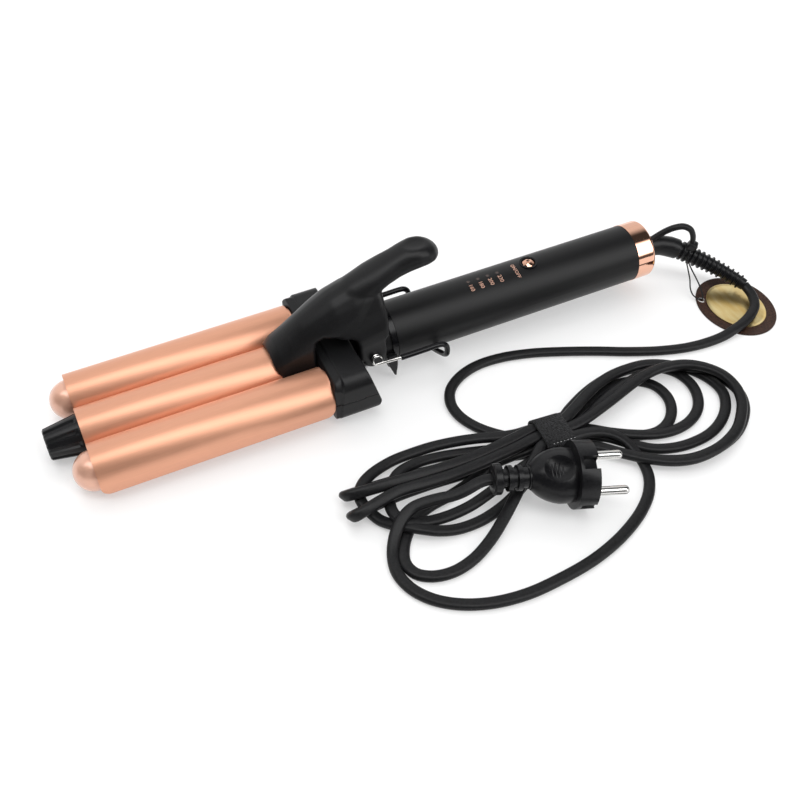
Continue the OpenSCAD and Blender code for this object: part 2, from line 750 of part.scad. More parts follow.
// Half of the stand's centre line: from the eye out to the leg, round a bend of radius knee, and
// down a flat hook [y, z] to the bow's lowest point
knee = 5;
hook = [[25.6, 14.6], [23, 11.6], [18.6, 8.9], [12.8, 5.6], [6.5, 2.7]];
function stand_half(s) = concat(
    [[pivot_x + 2.4, s * eye_y, pivot_z], [pivot_x + 5, s * (eye_y + 0.9), pivot_z],
     [pivot_x + 9, s * (leg_y - 0.6), pivot_z], [pivot_x + 12.5, s * leg_y, pivot_z]],
    [for (a = [0:22.5:90]) [bow_x - knee + knee * sin(a), s * leg_y, leg_z - knee * (1 - cos(a))]],
    [for (q = hook) [bow_x, s * q.x, q.y]]);
function reversed(p) = [for (i = [len(p) - 1:-1:0]) p[i]];
bow_low = [[bow_x, 0, sleeve_r]];
stand_line = concat(stand_half(-1), bow_low, reversed(stand_half(1)));
sleeve_line = [for (i = [3:len(stand_line) - 4]) stand_line[i]];

module stand_eye(s) {
    translate([pivot_x, s * eye_y, pivot_z]) rotate([90, 0, 0]) rotate_extrude()
        translate([pin_r + run_gap + wire_r, 0]) circle(r = wire_r);
}

module stand_wire() {
    color("#D5D6D8") lying() {
        stand_eye(-1);
        stand_eye(1);
        bent_rod(stand_line, wire_r, 12);
    }
}

module stand_sleeve() {
    color("#1A1A1B") lying() difference() {
        bent_rod(sleeve_line, sleeve_r, 14);
        bent_rod(stand_line, wire_r + 0.02, 12);
    }
}

// ---- Lead -----------------------------------------------------------------------------------

// The boot: a smooth neck, then rings that get smaller towards the lead
boot_line = smooth_route(boot_route, 6);
function boot_r(i) = let (n = len(boot_line) - 1, t = i / n)
    t < 0.36 ? 5.8 : (i % 4 < 2 ? 5.8 - 1.1 * t : 4.5 - 0.7 * t);

module cord_boot() {
    color("#161617") swept(boot_line, [for (i = [0:len(boot_line) - 1]) boot_r(i)], 16);
}

// The loop moulded on top of the boot, to hang the device up by
loop_route = [[187, -0.6, 29], [191, -1.1, 31.8], [196.5, -2.6, 35.4], [201, -4.8, 38], [205.5, -7.3, 39.2],
              [209.2, -9.8, 37.4], [211, -11.2, 33], [211.3, -11.8, 27], [211.3, -12.2, 21]];

module hanging_loop() {
    color("#161617") {
        bent_rod(smooth_route(loop_route, 2), 2, 12);
        // the knob that the loop ends in
        translate([211.3, -12, 23.5]) cylinder(h = 5, r = 3);
    }
}

module cord_lead() {
    color("#1C1C1D") flat_lead(lead_route);
}

module cord_tail() {
    color("#1C1C1D") flat_lead(tail_route);
}

// The outer shape of the tied hank: two round lobes and a waist under the tie
waist = [64, -100];
waist_r = 12.2;

module cord_hank() {
    left = [-17, -103];
    right = [143, -107];
    color("#1C1C1D") linear_extrude(hank_h) {
        hull() {
            translate(left) circle(r = 33, $fn = hull_fn);
            translate(waist) circle(r = waist_r, $fn = hull_fn);
        }
        hull() {
            translate(waist) circle(r = waist_r, $fn = hull_fn);
            translate(right) circle(r = 35, $fn = hull_fn);
        }
    }
}

// A hook-and-loop band round the hank's waist
module cord_tie() {
    turn = -3;
    band = 1.3;
    half = waist_r + 0.2;
    color("#111112") translate(waist) rotate([0, 0, turn]) difference() {
        along_x(-9, 9) round_rect([-half - band, 0], [half + band, hank_h + 0.2 + band], 6);
        along_x(-10, 10) round_rect([-half, 0.5], [half, hank_h + 0.2], 5);
    }
}

module plug_place() {
    translate(plug_at) rotate(plug_turn) children();
}

// A round plug with a notch on both sides, a waisted grip and a ringed relief
module plug_body() {
    color("#151516") plug_place() {
        difference() {
            rod_x(-9.8, 0, 0, 0, plug_r);
            for (s = [-1, 1]) translate([-8, -3.4, s * plug_r - 5]) cube([13, 6.8, 10]);
            for (s = [-1, 1]) rod_x(-9, 1, s * plug_pin_gap / 2, 0, pin_root_r + 0.02);
        }
        hull() {
            translate([-17, -14, -10]) cube([7.5, 28, 20]);
            translate([-31, 0, 0]) rotate([0, 90, 0]) cylinder(h = 1, r = 7, $fn = hull_fn);
        }
        rod_x(-plug_len, -30, 0, 0, 5.2);
        for (x = [-37, -42]) rod_x(x - 1.2, x + 1.2, 0, 0, 6.6);
        rod_x(-plug_len, 4.2 - plug_len, 0, 0, 8);
    }
}

module plug_pins() {
    color("#D9D9DB") plug_place() for (s = [-1, 1]) {
        rod_x(-9, 1, s * plug_pin_gap / 2, 0, pin_root_r);
        rod_x(0.5, plug_pin_len - plug_pin_r, s * plug_pin_gap / 2, 0, plug_pin_r);
        translate([plug_pin_len - plug_pin_r, s * plug_pin_gap / 2, 0]) sphere(r = plug_pin_r);
    }
}

// ---- Tag ------------------------------------------------------------------------------------

module tag_place() {
    translate(tag_at) rotate([0, 0, tag_turn]) children();
}

module oval(a, b, sides) {
    polygon([for (k = [0:sides - 1]) [a * cos(360 * k / sides), b * sin(360 * k / sides)]]);
}

module tag_board() {
    color("#3A2620") tag_place() difference() {
        linear_extrude(tag_t) oval(tag_half.x, tag_half.y, 64);
        translate([eyelet_at.x, eyelet_at.y, -1]) cylinder(h = 4, r = 1.7);
    }
}

module tag_disc() {
    color("#D9C070") tag_place() translate([0, 0, tag_t])
        linear_extrude(0.4) oval(tag_half.x - 6.7, tag_half.y - 6, 64);
}

module tag_eyelet() {
    color("#D5D6D8") tag_place() translate([eyelet_at.x, eyelet_at.y, 0]) difference() {
        union() {
            cylinder(h = tag_t + 0.4, r = 1.68);
            translate([0, 0, tag_t]) cylinder(h = 0.4, r = 2.3);
        }
        translate([0, 0, -1]) cylinder(h = 4, r = 1.1);
    }
}

// A thin cord from the boot down to the tag's eyelet
module tag_string() {
    color("#101010")
        bent_rod([[211.5, -14.5, 14], [210.4, -18, 8], [211, -22.5, 4], [211.2, -26.5, 2.6],
                  [210, -30.5, 2.1], [209.2, -34.6, 1.9]], 0.5, 8);
}

handle_upper_shell();
handle_lower_shell();
front_collar();
end_ring();
end_gland();
bracket_upper();
bracket_lower();
barrel_near();
barrel_middle();
barrel_far();
dome_cap_near();
dome_cap_far();
cool_tip();
insulating_sleeves();
heater_near();
heater_middle();
heater_far();
thermostat();
wiring();
control_board();
button_switch();
button_bezel();
lamp_lenses();
power_button();
handle_screws();
bracket_screws();
cord_clamp();
clamp_plate();
plate_rivets();
lever();
lever_spring();
pivot_pin();
pin_clips();
stand_wire();
stand_sleeve();
cord_boot();
hanging_loop();
tag_board();
tag_disc();
tag_eyelet();
tag_string();
cord_lead();
cord_hank();
cord_tail();
cord_tie();
plug_body();
plug_pins();
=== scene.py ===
"""A triple-barrel hair waver: three heated barrels under a clamp plate, lying on its barrel tips and its wire
stand, with the mains lead tied up beside it. Metres, +Z up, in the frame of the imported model."""

import math

import bmesh
import bpy
from mathutils import Matrix, Vector


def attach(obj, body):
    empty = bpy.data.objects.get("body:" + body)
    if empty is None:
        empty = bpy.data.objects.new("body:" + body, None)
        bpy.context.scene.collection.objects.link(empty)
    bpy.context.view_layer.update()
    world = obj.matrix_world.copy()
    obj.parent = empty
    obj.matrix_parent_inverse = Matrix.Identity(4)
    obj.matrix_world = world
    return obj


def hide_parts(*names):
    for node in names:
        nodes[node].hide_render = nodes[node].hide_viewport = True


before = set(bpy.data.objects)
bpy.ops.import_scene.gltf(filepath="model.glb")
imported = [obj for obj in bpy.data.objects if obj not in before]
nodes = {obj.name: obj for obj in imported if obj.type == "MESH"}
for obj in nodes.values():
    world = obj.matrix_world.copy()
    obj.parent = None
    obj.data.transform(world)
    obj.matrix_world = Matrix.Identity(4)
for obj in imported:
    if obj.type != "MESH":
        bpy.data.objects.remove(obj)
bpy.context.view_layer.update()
MM = 0.001

# ---- Camera, table and light -----------------------------------------------------------------------------
# The waver lies on a white table. A long soft box hangs over its near side, a white wall stands behind the
# table, and the ceiling and the front of the studio are dark. A soft lamp behind and above gives the shadows.

CAMERA_AT = (-0.17320359, -0.41574072, 0.43470294)
CAMERA_TURN = (44.00035648, -0.48417946, -24.56739384)
CAMERA_LENS, SENSOR = 48.69382617, 36
BOX_ACROSS, BOX_GLOW = (0.713, 0.673, 0.2), 3.3
BOX_SIDE, BOX_LOW_END, BOX_FAR_END = (0.16, 0.3), (0.14, 0.28), (0.1, 0.3)
ROOM_RISE, ROOM_GLOW = (0.2, 0.6), (0.12, 0.05)
WALL_EDGE, WALL_GLOW = (0.12, 0.6), 0.85
SUN_TURN, SUN_GLOW, SUN_SPREAD = (-24, 10, 0), 1.1, 50
TABLE_GLOW = 0.42

scene = bpy.context.scene
scene.view_settings.view_transform = "Standard"
bpy.ops.object.select_all(action="DESELECT")
bpy.ops.object.camera_add(location=CAMERA_AT, rotation=[math.radians(a) for a in CAMERA_TURN])
eye = bpy.context.object
eye.name = "camera"
eye.data.lens, eye.data.sensor_width = CAMERA_LENS, SENSOR
eye.data.clip_start, eye.data.clip_end = 0.01, 20
scene.camera = eye

studio = bpy.data.worlds.new("studio")
studio.use_nodes = True
scene.world = studio
room = studio.node_tree


def faded(source, edge, glow):
    """A value that goes smoothly from the first glow to the second between the two edges of a coordinate."""
    step = room.nodes.new("ShaderNodeMapRange")
    step.interpolation_type = "SMOOTHSTEP"
    for socket, value in zip(("From Min", "From Max", "To Min", "To Max"), (*edge, *glow)):
        step.inputs[socket].default_value = value
    room.links.new(source, step.inputs["Value"])
    return step.outputs[0]


def maths(tree, operation, one, two):
    """What an operation makes of two values, each of them a socket or a float."""
    result = tree.nodes.new("ShaderNodeMath")
    result.operation = operation
    for k, value in enumerate((one, two)):
        if isinstance(value, float):
            result.inputs[k].default_value = value
        else:
            tree.links.new(value, result.inputs[k])
    return result.outputs[0]


def mixed(tree, share, one, two, output):
    """Sends two shader nodes, mixed by a share, to a tree's output node."""
    mix = tree.nodes.new("ShaderNodeMixShader")
    for socket, source in zip(mix.inputs, (share, one.outputs[0], two.outputs[0])):
        tree.links.new(source, socket)
    tree.links.new(mix.outputs[0], tree.nodes[output].inputs["Surface"])


direction = room.nodes.new("ShaderNodeTexCoord").outputs["Generated"]
split = room.nodes.new("ShaderNodeSeparateXYZ")
room.links.new(direction, split.inputs[0])
forward, upward = split.outputs["Y"], split.outputs["Z"]
beside = room.nodes.new("ShaderNodeVectorMath")
beside.operation = "DOT_PRODUCT"
beside.inputs[1].default_value = BOX_ACROSS
room.links.new(direction, beside.inputs[0])
off_box = maths(room, "ABSOLUTE", beside.outputs["Value"], 0.0)
soft_box = maths(room, "MULTIPLY", faded(off_box, BOX_SIDE, (1, 0)), faded(upward, BOX_LOW_END, (0, BOX_GLOW)))
soft_box = maths(room, "MULTIPLY", soft_box, faded(forward, BOX_FAR_END, (1, 0)))
behind = faded(forward, WALL_EDGE, (0, 1))
front = maths(room, "MULTIPLY", faded(upward, ROOM_RISE, ROOM_GLOW), maths(room, "SUBTRACT", 1.0, behind))
wall = maths(room, "ADD", front, maths(room, "MULTIPLY", behind, WALL_GLOW))
cloth = room.nodes["Background"]
room.links.new(maths(room, "ADD", wall, soft_box), cloth.inputs["Color"])
backdrop = room.nodes.new("ShaderNodeBackground")
backdrop.inputs["Color"].default_value = (1, 1, 1, 1)
for background in (cloth, backdrop):
    background.inputs["Strength"].default_value = 1
mixed(room, room.nodes.new("ShaderNodeLightPath").outputs["Is Camera Ray"], cloth, backdrop, "World Output")

bpy.ops.object.light_add(type="SUN", rotation=[math.radians(a) for a in SUN_TURN])
shadow_lamp = bpy.context.object
shadow_lamp.data.energy, shadow_lamp.data.angle = SUN_GLOW, math.radians(SUN_SPREAD)
shadow_lamp.visible_glossy = False

bpy.ops.mesh.primitive_plane_add(size=8, location=(0, 0, 0))
table = bpy.context.object
table.name = "table"
bpy.ops.object.transform_apply(location=True, rotation=True, scale=True)
white_top = bpy.data.materials.new("white_table_top")
white_top.use_nodes = True
top = white_top.node_tree
top_shader = top.nodes["Principled BSDF"]
top_shader.inputs["Base Color"].default_value = (0.95, 0.95, 0.95, 1)
top_shader.inputs["Roughness"].default_value = 0.8
top_shader.inputs["Specular IOR Level"].default_value = 0.1
glow = top.nodes.new("ShaderNodeEmission")
glow.inputs["Color"].default_value = (1, 1, 1, 1)
seen = top.nodes.new("ShaderNodeLightPath")
share = maths(top, "ADD", seen.outputs["Is Camera Ray"], seen.outputs["Is Glossy Ray"])
share = maths(top, "ADD", share, seen.outputs["Is Transmission Ray"])
mixed(top, maths(top, "MULTIPLY", share, TABLE_GLOW), top_shader, glow, "Material Output")
table.data.materials.append(white_top)

# ---- Mains lead ------------------------------------------------------------------------------------------
# A flat two-core lead in soft black PVC, extruded in one length. It runs from the boot across the table, is
# folded back and forth into a hank under the tie, and ends in the plug. A point without a height lies on the
# table, on the lead's flat side.

LEAD_W, LEAD_T, LEVELLING = 6.2 * MM, 4.2 * MM, 0.05
from_boot = [(236, -38.5, 7), (236.3, -46, 5.2), (233, -53.8, 4.3), (225.5, -60, 3.9), (216, -64.5, 3.8),
             (208.5, -66.6, 3.6), (201, -67.9, 2.6), (190, -68.3), (176, -67.2), (160, -63.2), (142, -56.2),
             (124, -47.7), (105, -39.7), (88, -33.7), (71, -30.2), (56, -30.2), (43, -34.2), (33, -41.7),
             (28.4, -51.2), (28.4, -61.2), (32.4, -71.3), (39, -80), (47, -87.2, 2.4), (55, -90.2, 2.6)]
inner_loop = [(73, -91.2, 2.6), (84, -87.5, 2.4), (97, -82.5), (110, -77.8), (122, -76), (132, -78.5),
              (139.5, -85.5), (141.3, -95), (138.5, -104), (131, -112.3), (121, -116), (108, -113.5),
              (93, -107.5, 2.3), (82, -104.4, 2.5)]
far_fold = [(73, -103.6, 2.6), (55, -102.6, 2.6), (40, -99, 2.4), (22, -94.5), (4, -91.5), (-14, -89.5),
            (-30, -88.6), (-42, -88.4, 2.5), (-48.5, -89.4, 4), (-52, -91.6, 6.9), (-51.3, -94.2, 9.8),
            (-45.5, -95.9, 11.4), (-36, -96.6, 11.6), (-25, -97.2, 11.5), (-10, -98, 11.5), (4, -98.6, 11.5),
            (17, -98.4, 11.5), (32, -97, 11.5), (43, -95.5, 11.4), (55, -93.5, 11.2)]
second_loop = [(73, -94.3, 11.2), (84, -89, 10.6), (95, -82.5, 9.4), (106, -77, 8.3), (117, -73.2, 7.4),
               (129, -71.5, 6.6), (142, -72.5, 6.3), (155, -77.5, 5), (165, -84.5, 3), (171, -94), (172, -105),
               (167, -115), (158.5, -123), (148, -128.3), (137, -130.3), (125, -129.8), (113, -126, 2.3),
               (103, -119.5, 3.6), (93, -111.5, 5.5), (83, -106, 6.6)]
near_fold = [(73, -103.6, 6.9), (55, -102.6, 6.9), (42, -101.5, 5.6), (28, -100.6, 3.4), (12, -99.8),
             (-6, -98.9), (-24, -98.9), (-41, -100.4, 2.5), (-49.5, -102.6, 4), (-53.6, -105.3, 6.9),
             (-52.8, -107.8, 9.8), (-47, -107.4, 11.4), (-38, -105.3, 11.6), (-28, -103.4, 11.5),
             (-13, -104.1, 11.5), (1, -104.8, 11.5), (16, -104.2, 11.5), (30, -103, 11.5), (43, -101.5, 11.4),
             (55, -99.6, 11.2)]
outer_loop = [(73, -100.6, 11.2), (84, -99, 11.2), (95, -95.8, 11.2), (107, -91.8, 11), (118, -87.8, 10.8),
              (132, -83.4, 10.6), (146, -82, 10.5), (159, -84.8, 10.5), (169, -91, 9.6), (175.5, -99.5, 8.4),
              (177, -109, 7.2), (174, -118.5, 6.5), (167, -127.5, 6.3), (158.5, -135, 6.3), (148, -140, 6.3),
              (137, -142.6, 6.3), (125.5, -142.8, 6.1), (115, -139.8, 5.9), (104, -133, 5.6), (93, -123.5, 5.6),
              (83, -114.5, 6.2)]
inner_arc = [(73, -109.8, 6.9), (55, -108.8, 6.9), (42, -111, 6.7), (29, -115, 6.4), (17, -119, 6), (4, -122, 5),
             (-8, -122.8, 4.5), (-19, -122.6, 5.5), (-27, -120.8, 6.3), (-32, -116.3, 6.3), (-33.6, -110, 6.3),
             (-32.2, -103, 6.3), (-29, -97, 6.3), (-25, -91.8, 6), (-20, -87.5, 5), (-13, -84.6, 3.8),
             (-4, -83.4, 2.8), (7, -84.3, 2.3), (20, -87.2, 2.2), (33, -91, 2.3), (44, -94.5, 2.4)]
hidden_loop = [(55, -96.4, 2.6), (73, -97.4, 2.6), (85, -94.5, 3.2), (98, -89.6, 5.2), (111, -84.8, 6.3),
               (124, -80.8, 6.3), (138, -78.5, 6.3), (151, -79.3, 6.3), (163, -83.6, 5.6), (173, -90.5, 3.6),
               (179, -99.5), (180.3, -109), (177, -118.5), (170, -127), (160.5, -134), (149, -138.2),
               (137, -140), (125.5, -139.2), (114, -135), (103, -128), (93, -119.5, 2.2), (83, -112.4, 2.4)]
outer_arc = [(73, -109.8, 2.6), (55, -108.8, 2.6), (45, -114, 2.4), (34, -120.5, 2.2), (22, -126.3), (7, -130.4),
             (-7, -131, 2.8), (-17, -129.3, 4.6), (-25, -125.8, 6.2), (-31, -121.2, 5.9), (-36, -115.6, 3.6),
             (-40.5, -109.5, 2.6), (-44, -103, 4.9), (-45.3, -97, 6.3), (-43.5, -91.5, 6.3), (-39.5, -86.7, 6),
             (-34, -82.9, 5.2), (-27, -79.8, 4.4), (-18, -77.6, 4), (-7, -77.1, 4), (4, -77.6, 4.3),
             (16, -79.8, 5), (27, -83.2, 6), (38, -87.4, 6.7), (47, -89.7, 6.9)]
third_loop = [(55, -90.2, 6.9), (73, -91.2, 6.9), (85, -84.5, 6.3), (97, -77.8, 4.8), (110, -72.2, 3.2),
              (123, -69, 2.2), (136, -69.2), (148, -73.4), (156.5, -81.5), (159.4, -92), (157, -102.5),
              (151, -111), (142, -116.6), (131, -119, 2.4), (119, -118.3, 3.4), (107, -114.8, 5),
              (95, -109, 6.3), (84, -101.5, 6.8)]
small_arc = [(73, -97.4, 6.9), (55, -96.4, 6.9), (38, -98.5, 5.6), (20, -104, 3), (2, -109), (-14, -112),
             (-24, -116.2), (-31, -122.6), (-36.5, -130), (-39.6, -138.5), (-37.6, -146), (-31, -150.8),
             (-21, -152.6), (-9, -150.3, 2.3), (4, -144, 3.3), (16, -136, 5.8), (26, -128.5, 8.6),
             (37, -119.5, 10.6), (47, -111.5, 11.3)]
to_plug = [(55, -105.7, 11.3), (73, -106.7, 11.2), (83, -107.7, 10.6), (92, -110.7, 8.8), (98.5, -116.5, 6.2),
           (101.3, -124.5, 3.6), (101.4, -133, 2.3), (99, -141.2), (93, -150), (85, -157), (75, -163.2),
           (61, -169.5), (44, -174.5), (25, -177.3), (6, -178.3), (-11, -176), (-25, -170.8), (-36, -163),
           (-43, -153.3), (-45.5, -142.5), (-43.3, -132, 2.6), (-38.5, -123.8, 5.6), (-32.5, -118.5, 9),
           (-25.4, -115.6, 11.2), (-17.5, -116.6, 13.4), (-11.5, -118.4, 15), (-6.5, -120.2, 16.3),
           (-1.8, -121.5, 18), (2.6, -122, 19.8), (7.4, -121.9, 21.3), (12, -122.3, 22), (16.5, -123.5, 21.6)]
lead_route = (from_boot + inner_loop + far_fold + second_loop + near_fold + outer_loop + inner_arc + hidden_loop
              + outer_arc + third_loop + small_arc + to_plug)


def smooth_line(route, step):
    """Points about a step apart on the smooth curve through a route given in millimetres."""
    ends = [Vector(p) * MM for p in route]
    ends = [2 * ends[0] - ends[1], *ends, 2 * ends[-1] - ends[-2]]
    line = []
    for a, b, c, d in zip(ends, ends[1:], ends[2:], ends[3:]):
        one = (b - a).length ** 0.5
        two = one + (c - b).length ** 0.5
        three = two + (d - c).length ** 0.5
        parts = max(2, round((c - b).length / (step * MM)))
        for k in range(parts):
            t = one + (two - one) * k / parts
            ab, bc, cd = a.lerp(b, t / one), b.lerp(c, (t - one) / (two - one)), c.lerp(d, (t - two) / (three - two))
            line.append(ab.lerp(bc, t / two).lerp(bc.lerp(cd, (t - one) / (three - one)), (t - one) / (two - one)))
    return [*line, ends[-2]]


def length_of(line):
    """The length of a line of points, in millimetres."""
    return sum((b - a).length for a, b in zip(line, line[1:])) / MM


def heading_at(line, i):
    """The direction of a line at one of its points."""
    return (line[min(i + 1, len(line) - 1)] - line[max(i - 1, 0)]).normalized()


def skin(name, rings):
    """A new piece with a closed skin over a row of rings of points."""
    bm = bmesh.new()
    rings = [[bm.verts.new(point) for point in ring] for ring in rings]
    for one, two in zip(rings, rings[1:]):
        for k in range(len(one)):
            after = (k + 1) % len(one)
            bm.faces.new((one[k], one[after], two[after], two[k]))
    bm.faces.new(rings[0][::-1])
    bm.faces.new(rings[-1])
    bmesh.ops.recalc_face_normals(bm, faces=bm.faces)
    mesh = bpy.data.meshes.new(name)
    bm.to_mesh(mesh)
    bm.free()
    part = bpy.data.objects.new(name, mesh)
    scene.collection.objects.link(part)
    return part


def flat_cord(name, line, width, thick, sides=16):
    """A flat-sided cord with round edges along a line, flat side down wherever it lies level."""
    side, rings = None, []
    for i, point in enumerate(line):
        heading = heading_at(line, i)
        level = Vector((0, 0, 1)).cross(heading)
        side = level.normalized() if side is None else side - heading * side.dot(heading)
        if level.dot(side) < 0:
            level.negate()
        side = (side.normalized() + level * level.length * LEVELLING).normalized()
        rise = heading.cross(side)
        ring = []
        for k in range(sides):
            a = math.tau * (k + 0.5) / sides
            across = math.copysign((width - thick) / 2, math.cos(a)) + math.cos(a) * thick / 2
            ring.append(point + side * across + rise * (math.sin(a) * thick / 2))
        rings.append(ring)
    return skin(name, rings)


def finish(name, colour, roughness, grain, bump, tones, swing, metal=0.0, stretch=(1, 1, 1), detail=3, extra=()):
    """A material whose noise of a given grain is its bump (strength, metres), and swings its roughness and its
    tones, where those are given. Blacks reflect less than other colours."""
    material = bpy.data.materials.new(name)
    material.use_nodes = True
    add, link = material.node_tree.nodes.new, material.node_tree.links.new
    shader = material.node_tree.nodes["Principled BSDF"]
    specular = 0.27 if max(colour) < 0.03 else 0.5
    for socket, value in (("Base Color", (*colour, 1)), ("Roughness", roughness), ("Metallic", metal),
                          ("Specular IOR Level", specular), *extra):
        shader.inputs[socket].default_value = value
    place, turn, noise, dents = (add(f"ShaderNode{kind}") for kind in ("TexCoord", "Mapping", "TexNoise", "Bump"))
    turn.inputs["Scale"].default_value = stretch
    noise.inputs["Scale"].default_value, noise.inputs["Detail"].default_value = grain, detail
    dents.inputs["Strength"].default_value, dents.inputs["Distance"].default_value = bump
    link(place.outputs["Object"], turn.inputs["Vector"])
    link(turn.outputs[0], noise.inputs["Vector"])
    link(noise.outputs["Fac"], dents.inputs["Height"])
    link(dents.outputs[0], shader.inputs["Normal"])
    if tones:
        tint = add("ShaderNodeValToRGB")
        for spot, tone, position in zip(tint.color_ramp.elements, tones, (0.35, 0.65)):
            spot.color, spot.position = (*tone, 1), position
        link(noise.outputs["Fac"], tint.inputs[0])
        link(tint.outputs[0], shader.inputs["Base Color"])
    sway = add("ShaderNodeMapRange")
    sway.inputs["To Min"].default_value, sway.inputs["To Max"].default_value = swing
    link(noise.outputs["Fac"], sway.inputs["Value"])
    link(sway.outputs[0], shader.inputs["Roughness"])
    return material


lead_points = smooth_line([(*point, LEAD_T / 2 / MM)[:3] for point in lead_route], 2.0)
lead = flat_cord("mains_lead", lead_points, LEAD_W, LEAD_T)
lead.data.shade_smooth()
lead.data.materials.append(finish("black_lead_pvc", (0.009, 0.009, 0.01), 0.42, 900, (0.25, 0.00015),
                                  ((0.007, 0.007, 0.0075), (0.012, 0.012, 0.013)), (0.36, 0.5)))
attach(lead, "base")
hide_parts("cord_lead", "cord_hank", "cord_tail")

# ---- Barrels and their tips ------------------------------------------------------------------------------
# Three drawn aluminium barrels, ceramic coated in satin rose gold, reach from the bracket to the tips. The
# outer two are shut by pressed caps with a round nose, which have a glossier coat than the barrels. The whole
# device is tilted about the stand's bow, so that its tips come down onto the table.

BOW_X, TIPS_DROP, TIPS_REACH = 38.6, 7, 200.1
TO_BOW = Matrix.Translation((BOW_X * MM, 0, 0))
LYING = TO_BOW @ Matrix.Rotation(-math.atan(TIPS_DROP / TIPS_REACH), 4, "Y") @ TO_BOW.inverted()
AXIS_Z, PITCH = 19.0, 27.5


def dress(material, *names):
    """Gives CAD nodes their finish."""
    for name in names:
        nodes[name].data.materials.clear()
        nodes[name].data.materials.append(material)


def brushed(name, colour, swing, roughness, metal=0.68, coat=0.3, coat_rough=0.32):
    """Metal with fine grain along the device, under a clear coat."""
    pale = tuple(min(1, c * swing) for c in colour)
    return finish(name, colour, roughness[0], 2400, (0.1, 0.00004), (colour, pale), roughness, metal, (0.02, 1, 1),
                  extra=(("Coat Weight", coat), ("Coat Roughness", coat_rough)))


satin_gold = brushed("satin_rose_gold", (0.78, 0.385, 0.245), 1.05, (0.38, 0.44))
bright_gold = brushed("polished_rose_gold", (0.87, 0.5, 0.36), 1.03, (0.05, 0.09), 1.0, 0.0)
dress(satin_gold, "barrel_near", "barrel_middle", "barrel_far")
domed_gold = brushed("domed_rose_gold", (0.82, 0.46, 0.33), 1.04, (0.36, 0.42), 0.45, 1.0, 0.1)
dress(domed_gold, "dome_cap_near", "dome_cap_far")

# ---- Clamp plate -----------------------------------------------------------------------------------------
# One sheet of anodised aluminium, pressed into three half rounds with a narrow valley between each two, and
# bent straight down at both sides. It moves with the lever and shuts over the barrels.

PLATE_FRONT, PLATE_REAR, SHEET = -162.5, -35.5, 1.0
SHEET_R, VALLEY, VALLEY_HALF, VALLEY_BEND = 13.5, 4.6, 1.3, 0.7
SKIRT, SKIRT_CORNER, CORNER_STEPS = 5.5, 5.0, 10


def start(add_shape, name, at=(0, 0, 0), turn=(0, 0, 0), **sizes):
    """Adds a primitive on its own, placed in millimetres, with its place in its mesh."""
    bpy.ops.object.select_all(action="DESELECT")
    add_shape(location=[v * MM for v in at], rotation=[math.radians(a) for a in turn], **sizes)
    part = bpy.context.object
    part.name = name
    bpy.ops.object.transform_apply(location=True, rotation=True, scale=True)
    return part


def rod(name, at, radius, length, vertices, turn=(0, 0, 0), **more):
    """A cylinder of a given place and size in millimetres."""
    return start(bpy.ops.mesh.primitive_cylinder_add, name, at, turn, vertices=vertices, radius=radius * MM,
                 depth=length * MM, **more)


def only(part):
    """Makes a piece the one that is selected and active."""
    bpy.ops.object.select_all(action="DESELECT")
    part.select_set(True)
    bpy.context.view_layer.objects.active = part


def edit():
    """Starts editing the active piece's mesh."""
    bpy.ops.object.mode_set(mode="EDIT")


def leave():
    """Stops editing."""
    bpy.ops.object.mode_set(mode="OBJECT")


def pick(kind, test):
    """Selects the vertices, edges or faces whose middle, in millimetres, and normal pass a test."""
    bpy.ops.mesh.select_mode(type=kind)
    bpy.ops.mesh.select_all(action="DESELECT")
    bm = bmesh.from_edit_mesh(bpy.context.object.data)
    for item in {"VERT": bm.verts, "EDGE": bm.edges, "FACE": bm.faces}[kind]:
        corners = [item] if kind == "VERT" else item.verts
        middle = sum((v.co for v in corners), Vector()) / len(corners) / MM
        facing = (item.verts[1].co - item.verts[0].co).normalized() if kind == "EDGE" else item.normal
        if test(middle, facing):
            item.select_set(True)
    bm.select_flush_mode()
    bmesh.update_edit_mesh(bpy.context.object.data)


def cut(normal, point, clear="outer"):
    """Cuts the edited mesh at a plane, and clears what is outside it, inside it or neither."""
    bpy.ops.mesh.select_all(action="SELECT")
    bpy.ops.mesh.bisect(plane_co=[v * MM for v in point], plane_no=normal,
                        clear_outer=clear == "outer", clear_inner=clear == "inner")


def stepped(*steps, axis=2):
    """Insets the picked face, and then moves it along an axis, in millimetres, for each step."""
    for inset, move in steps:
        bpy.ops.mesh.inset(thickness=inset * MM)
        if move:
            bpy.ops.transform.translate(value=[move * MM if k == axis else 0 for k in range(3)])


def applied(part, kind, **settings):
    """Adds a modifier to a piece and applies it."""
    only(part)
    change = part.modifiers.new(kind.lower(), kind)
    for key, value in settings.items():
        setattr(change, key, value)
    bpy.ops.object.modifier_apply(modifier=change.name)


def bevelled(part, width, segments, angle):
    """Bevels the edges that are sharper than an angle, by a width in millimetres."""
    applied(part, "BEVEL", width=width * MM, segments=segments, limit_method="ANGLE", angle_limit=math.radians(angle))


def joined(name, parts):
    """Makes one piece of several."""
    only(parts[0])
    for part in parts:
        part.select_set(True)
    bpy.ops.object.join()
    parts[0].name = name
    return parts[0]


def finished(part, material, body="base", lying=True, angle=35):
    """Smooths a piece, lays it down with the device, and gives it its finish and body."""
    only(part)
    bpy.ops.object.shade_smooth_by_angle(angle=math.radians(angle))
    if lying:
        part.data.transform(LYING)
    part.data.materials.clear()
    part.data.materials.append(material)
    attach(part, body)
    return part


def along(n):
    """Whether an edge runs along the device."""
    return abs(n.x) > 0.99


